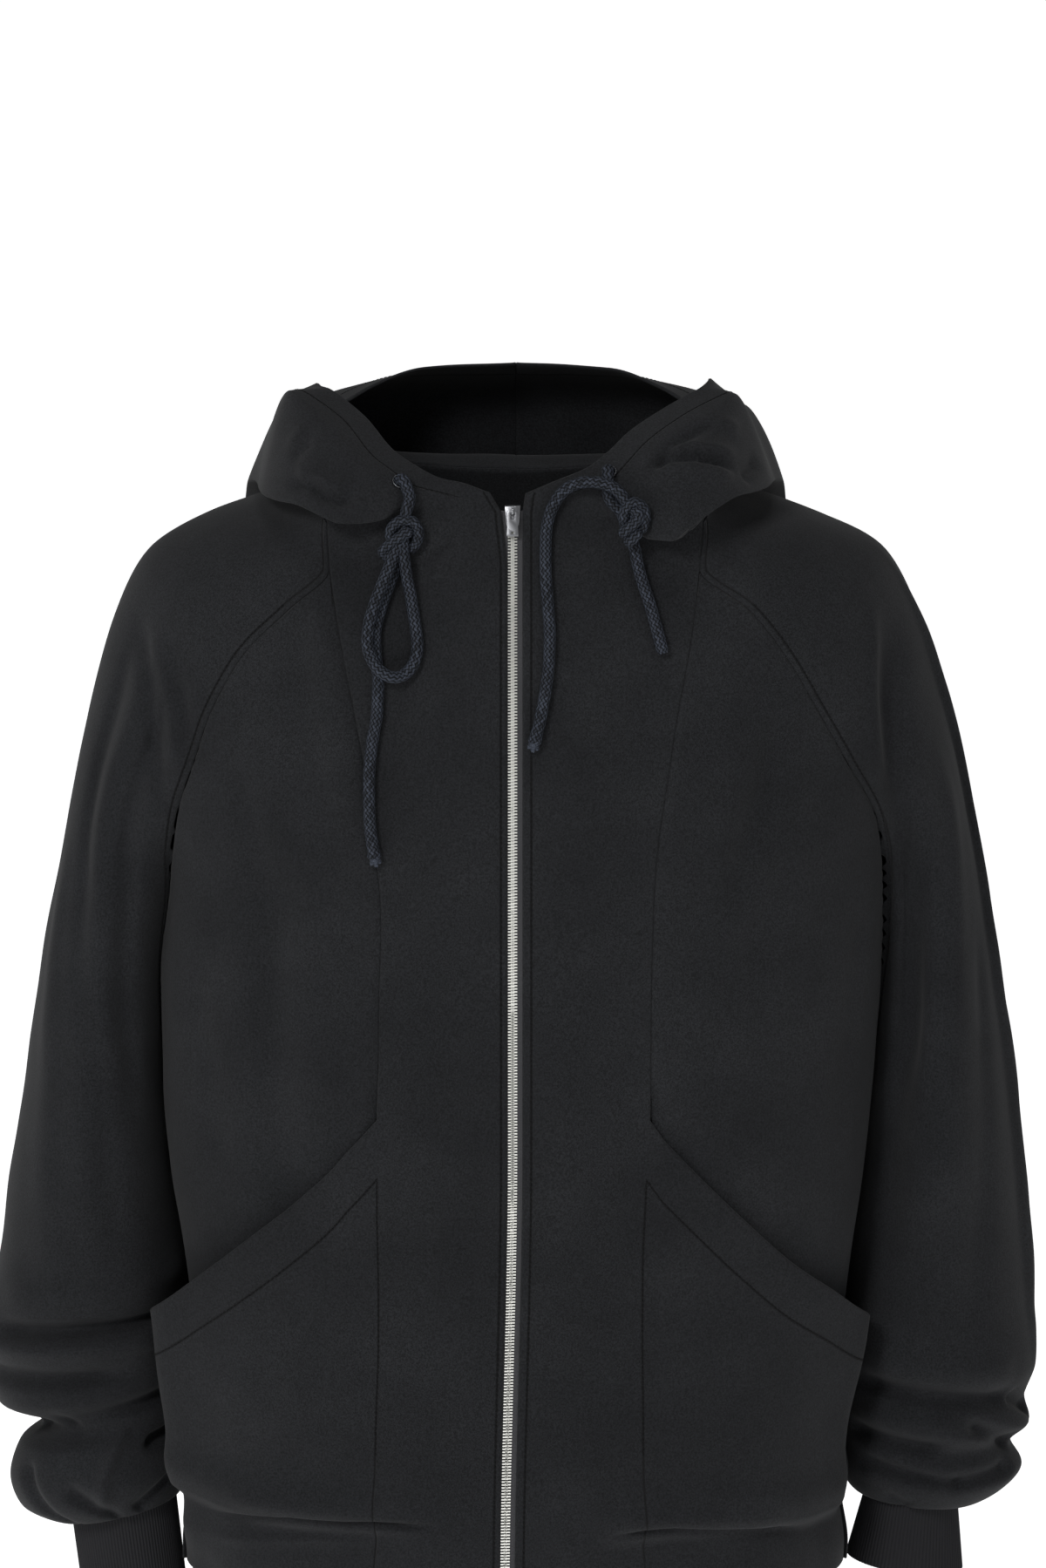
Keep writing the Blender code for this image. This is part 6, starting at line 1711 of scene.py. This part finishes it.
def cord_material():
    """Braided cotton cord: painted shade, near-black navy, in the gaps between yarns, and a painted
    highlight, slate blue, where the yarns' crowns catch the light.
    """
    made, tree, shader = new_material("braided_cord", "20252E", 0.8)
    shader.inputs["Specular IOR Level"].default_value = 0.15
    # The yarn attribute carries painted shade between the yarns along with each yarn's own tone.
    yarn = add(tree, "ShaderNodeAttribute", {"attribute_name": "yarn"})
    tone = add(tree, "ShaderNodeValToRGB", Fac=yarn.outputs["Fac"])
    for end, position, code in zip(tone.color_ramp.elements, (0.42, 1.0), ("050608", "383D47")):
        end.position, end.color = position, paint(code)
    tree.links.new(tone.outputs["Color"], shader.inputs["Base Color"])
    # Fibres lie in clumps 0.6 mm wide, coarser than real ones, which gives the yarns a soft face.
    fibre = add(tree, "ShaderNodeTexNoise", {"Scale": 1600.0, "Detail": 2.0},
                Vector=add(tree, "ShaderNodeTexCoord").outputs["Object"])
    bump = add(tree, "ShaderNodeBump", {"Strength": 0.3, "Distance": 0.0002}, Height=fibre)
    tree.links.new(bump.outputs["Normal"], shader.inputs["Normal"])
    return made


def table_keys(cloth, name):
    """A stretch's own points, each at its height over the cloth."""
    return [above(cloth, x, z, height) for x, z, height in STRETCHES[name]]


def exit_keys(cloth, side, first):
    """Points that lead straight out of an eyelet and bend over toward the first point."""
    middle, out = eyelet_frame(cloth, side)
    along = first - middle
    along = (along - out * along.dot(out)).normalized()
    keys = [middle + out * 0.0008, middle + out * EXIT_RISE]
    for turn in np.radians((25, 50, 75)):
        rise = EXIT_RISE + EXIT_BEND * math.sin(turn)
        keys.append(middle + out * rise + along * EXIT_BEND * (1 - math.cos(turn)))
    return middle, keys


def build_eyelet(cloth, side, metal, sides=56):
    """Pressed ring with a rounded face round the cord's hole."""
    middle, out = eyelet_frame(cloth, side)
    across = out.cross(Vector((0, 0, 1))).normalized()
    up = across.cross(out)
    width = EYELET_RIM / 2
    profile = [(EYELET_HOLE + width - width * math.cos(t), EYELET_HIGH * math.sin(t))
               for t in np.linspace(0, math.pi, 8)]
    profile += [(EYELET_HOLE + 2 * width, -0.0004), (EYELET_HOLE, -0.0004)]
    points = []
    for k in range(sides):
        turn = 2 * math.pi * k / sides
        for radius, high in profile:
            points.append(middle + across * radius * math.cos(turn) + up * radius * math.sin(turn)
                          + out * high)
    points = seat(cloth, points, out, SEAM_GAP / 3, 0.004)
    many = len(profile)
    faces = []
    for k in range(sides):
        for j in range(many):
            a, b = many * k, many * ((k + 1) % sides)
            faces.append((a + j, b + j, b + (j + 1) % many, a + (j + 1) % many))
    made = mesh_piece("ring_" + side, np.array([tuple(p) for p in points]), np.array(faces))
    outward(made)
    made.data.materials.append(metal)
    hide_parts("eyelet_" + side)
    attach(made, "garment")


def outward(made):
    """Turns every face of a closed mesh outward."""
    mesh = bmesh.new()
    mesh.from_mesh(made.data)
    bmesh.ops.recalc_face_normals(mesh, faces=mesh.faces)
    mesh.to_mesh(made.data)
    mesh.free()


def build_knot(cloth, side, cord):
    """Overhand knot of three showing strands of braid that cross each other. Gives its middle."""
    middle = above(cloth, *KNOTS[side])
    strands = KNOT_STRANDS[side]
    tubes, every = [], []
    for strand in (1, 2, 3):
        rows = strands[strands[:, 0] == strand][:, 1:]
        keys = [middle + Vector((across, -out, up)) for across, up, out in rows]
        route, _ = even_route(keys, BRAID_STEP)
        every.append(route)
    flat = [Vector(point) for route in every for point in route]
    lowered = seat(cloth, flat, Vector((0, -1, 0)), CORD / 2 + SEAM_GAP)
    drop = np.array(lowered[0] - flat[0])
    for route in every:
        thick = np.ones(len(route)) * 0.97
        close = np.minimum(np.arange(len(route)), len(route) - 1 - np.arange(len(route)))
        thick = thick * np.sqrt(np.clip(0.25 + close / 5, 0, 1))
        tubes.append(braided_tube(route + drop, thick))
    made = tube_piece("tied_knot_" + side, tubes, cord)
    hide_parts("knot_" + side)
    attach(made, "garment")
    return middle


FRAY = table("""across down out length thick tone
    -.0038  .003 .0012 .0042 .0016 .75
    -.0016 .0048 .0024 .0046 .0017 .95
     .0012  .005  .002 .0042 .0017  .8
     .0036  .003  .002 .0046 .0018  .9
      .003 .0008  .003 .0036 .0017  .7
     -.003 .0006 .0026 .0036 .0016  .7
     .0002 .0028 .0036 .0036 .0018   1""")


def build_fray(name, end, along, cord):
    """Tuft of yarn bundles that curl out of a cut end."""
    along = np.array(along) / np.linalg.norm(along)
    out = np.array((0.0, -1.0, 0.0))
    out = out - along * np.dot(out, along)
    out /= np.linalg.norm(out)
    across = np.cross(along, out)
    tubes = []
    for side, down, rise, long, thick, tone in FRAY:
        heart = end + along * (down - 0.004) + across * side * 0.35 + out * (rise - 0.0016) * 0.5
        tip = end + along * (down - 0.001) + across * side + out * (rise - 0.0016)
        mid = (heart + tip) / 2 + along * long * 0.35
        route, _ = even_route([heart, mid, tip], 0.0005)
        share = np.linspace(0, 1, len(route))
        round_end = np.sqrt(np.clip(1 - ((share - 0.5) * 2) ** 6, 0.04, 1))
        part, loops, tones = braided_tube(route, round_end, 14, thick, 4)
        # The tuft keeps the braid's painted shade between its yarns, lifted by its own tone from the table.
        tubes.append((part, loops, np.clip(tones * 0.6 + tone * 0.55, 0, 1)))
    made = tube_piece(name, tubes, cord)
    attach(made, "garment")
    return made


def build_cords():
    cloth = lying_cloth()
    gunmetal = metal_material("gunmetal", "4C4D50", 0.28)
    cord = cord_material()
    knots = {}
    for side, _ in SIDES:
        build_eyelet(cloth, side, gunmetal)
        knots[side] = build_knot(cloth, side, cord)
    runs = (
        # piece              side     stretches                             far end
        ("hood_cord_right", "right", ("cord_drop_right", "cord_tail_right"), "knot"),
        ("hood_loop_right", "right", ("cord_loop_right",), "object"),
        ("hood_cord_left", "left", ("cord_drop_left", "cord_short_left"), "bare"),
        ("hood_cord_long", "left", ("cord_long_left",), "knot"),
    )
    for name, side, stretches, far_end in runs:
        keys = [key for stretch in stretches for key in table_keys(cloth, stretch)]
        middle = knots[side]
        if "drop" in stretches[0]:
            leave, start = exit_keys(cloth, side, keys[0])
            keys = start + keys
        else:
            leave = middle
            keys = [middle] + keys + ([middle] if far_end == "object" else [])
        route, long = even_route(keys, BRAID_STEP)
        thick = np.ones(len(route))
        if far_end == "knot":
            thick[-14:] = np.linspace(1.0, 1.22, 14)
            thick[-3:] *= (0.95, 0.8, 0.5)
            build_fray(name + "_fray", route[-1], route[-1] - route[-6], cord)
        if far_end == "bare":
            thick[-6:] *= np.linspace(1.02, 0.80, 6)
        made = tube_piece(name, [braided_tube(route, thick)], cord)
        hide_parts(*stretches)
        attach(made, "garment")


build_cords()
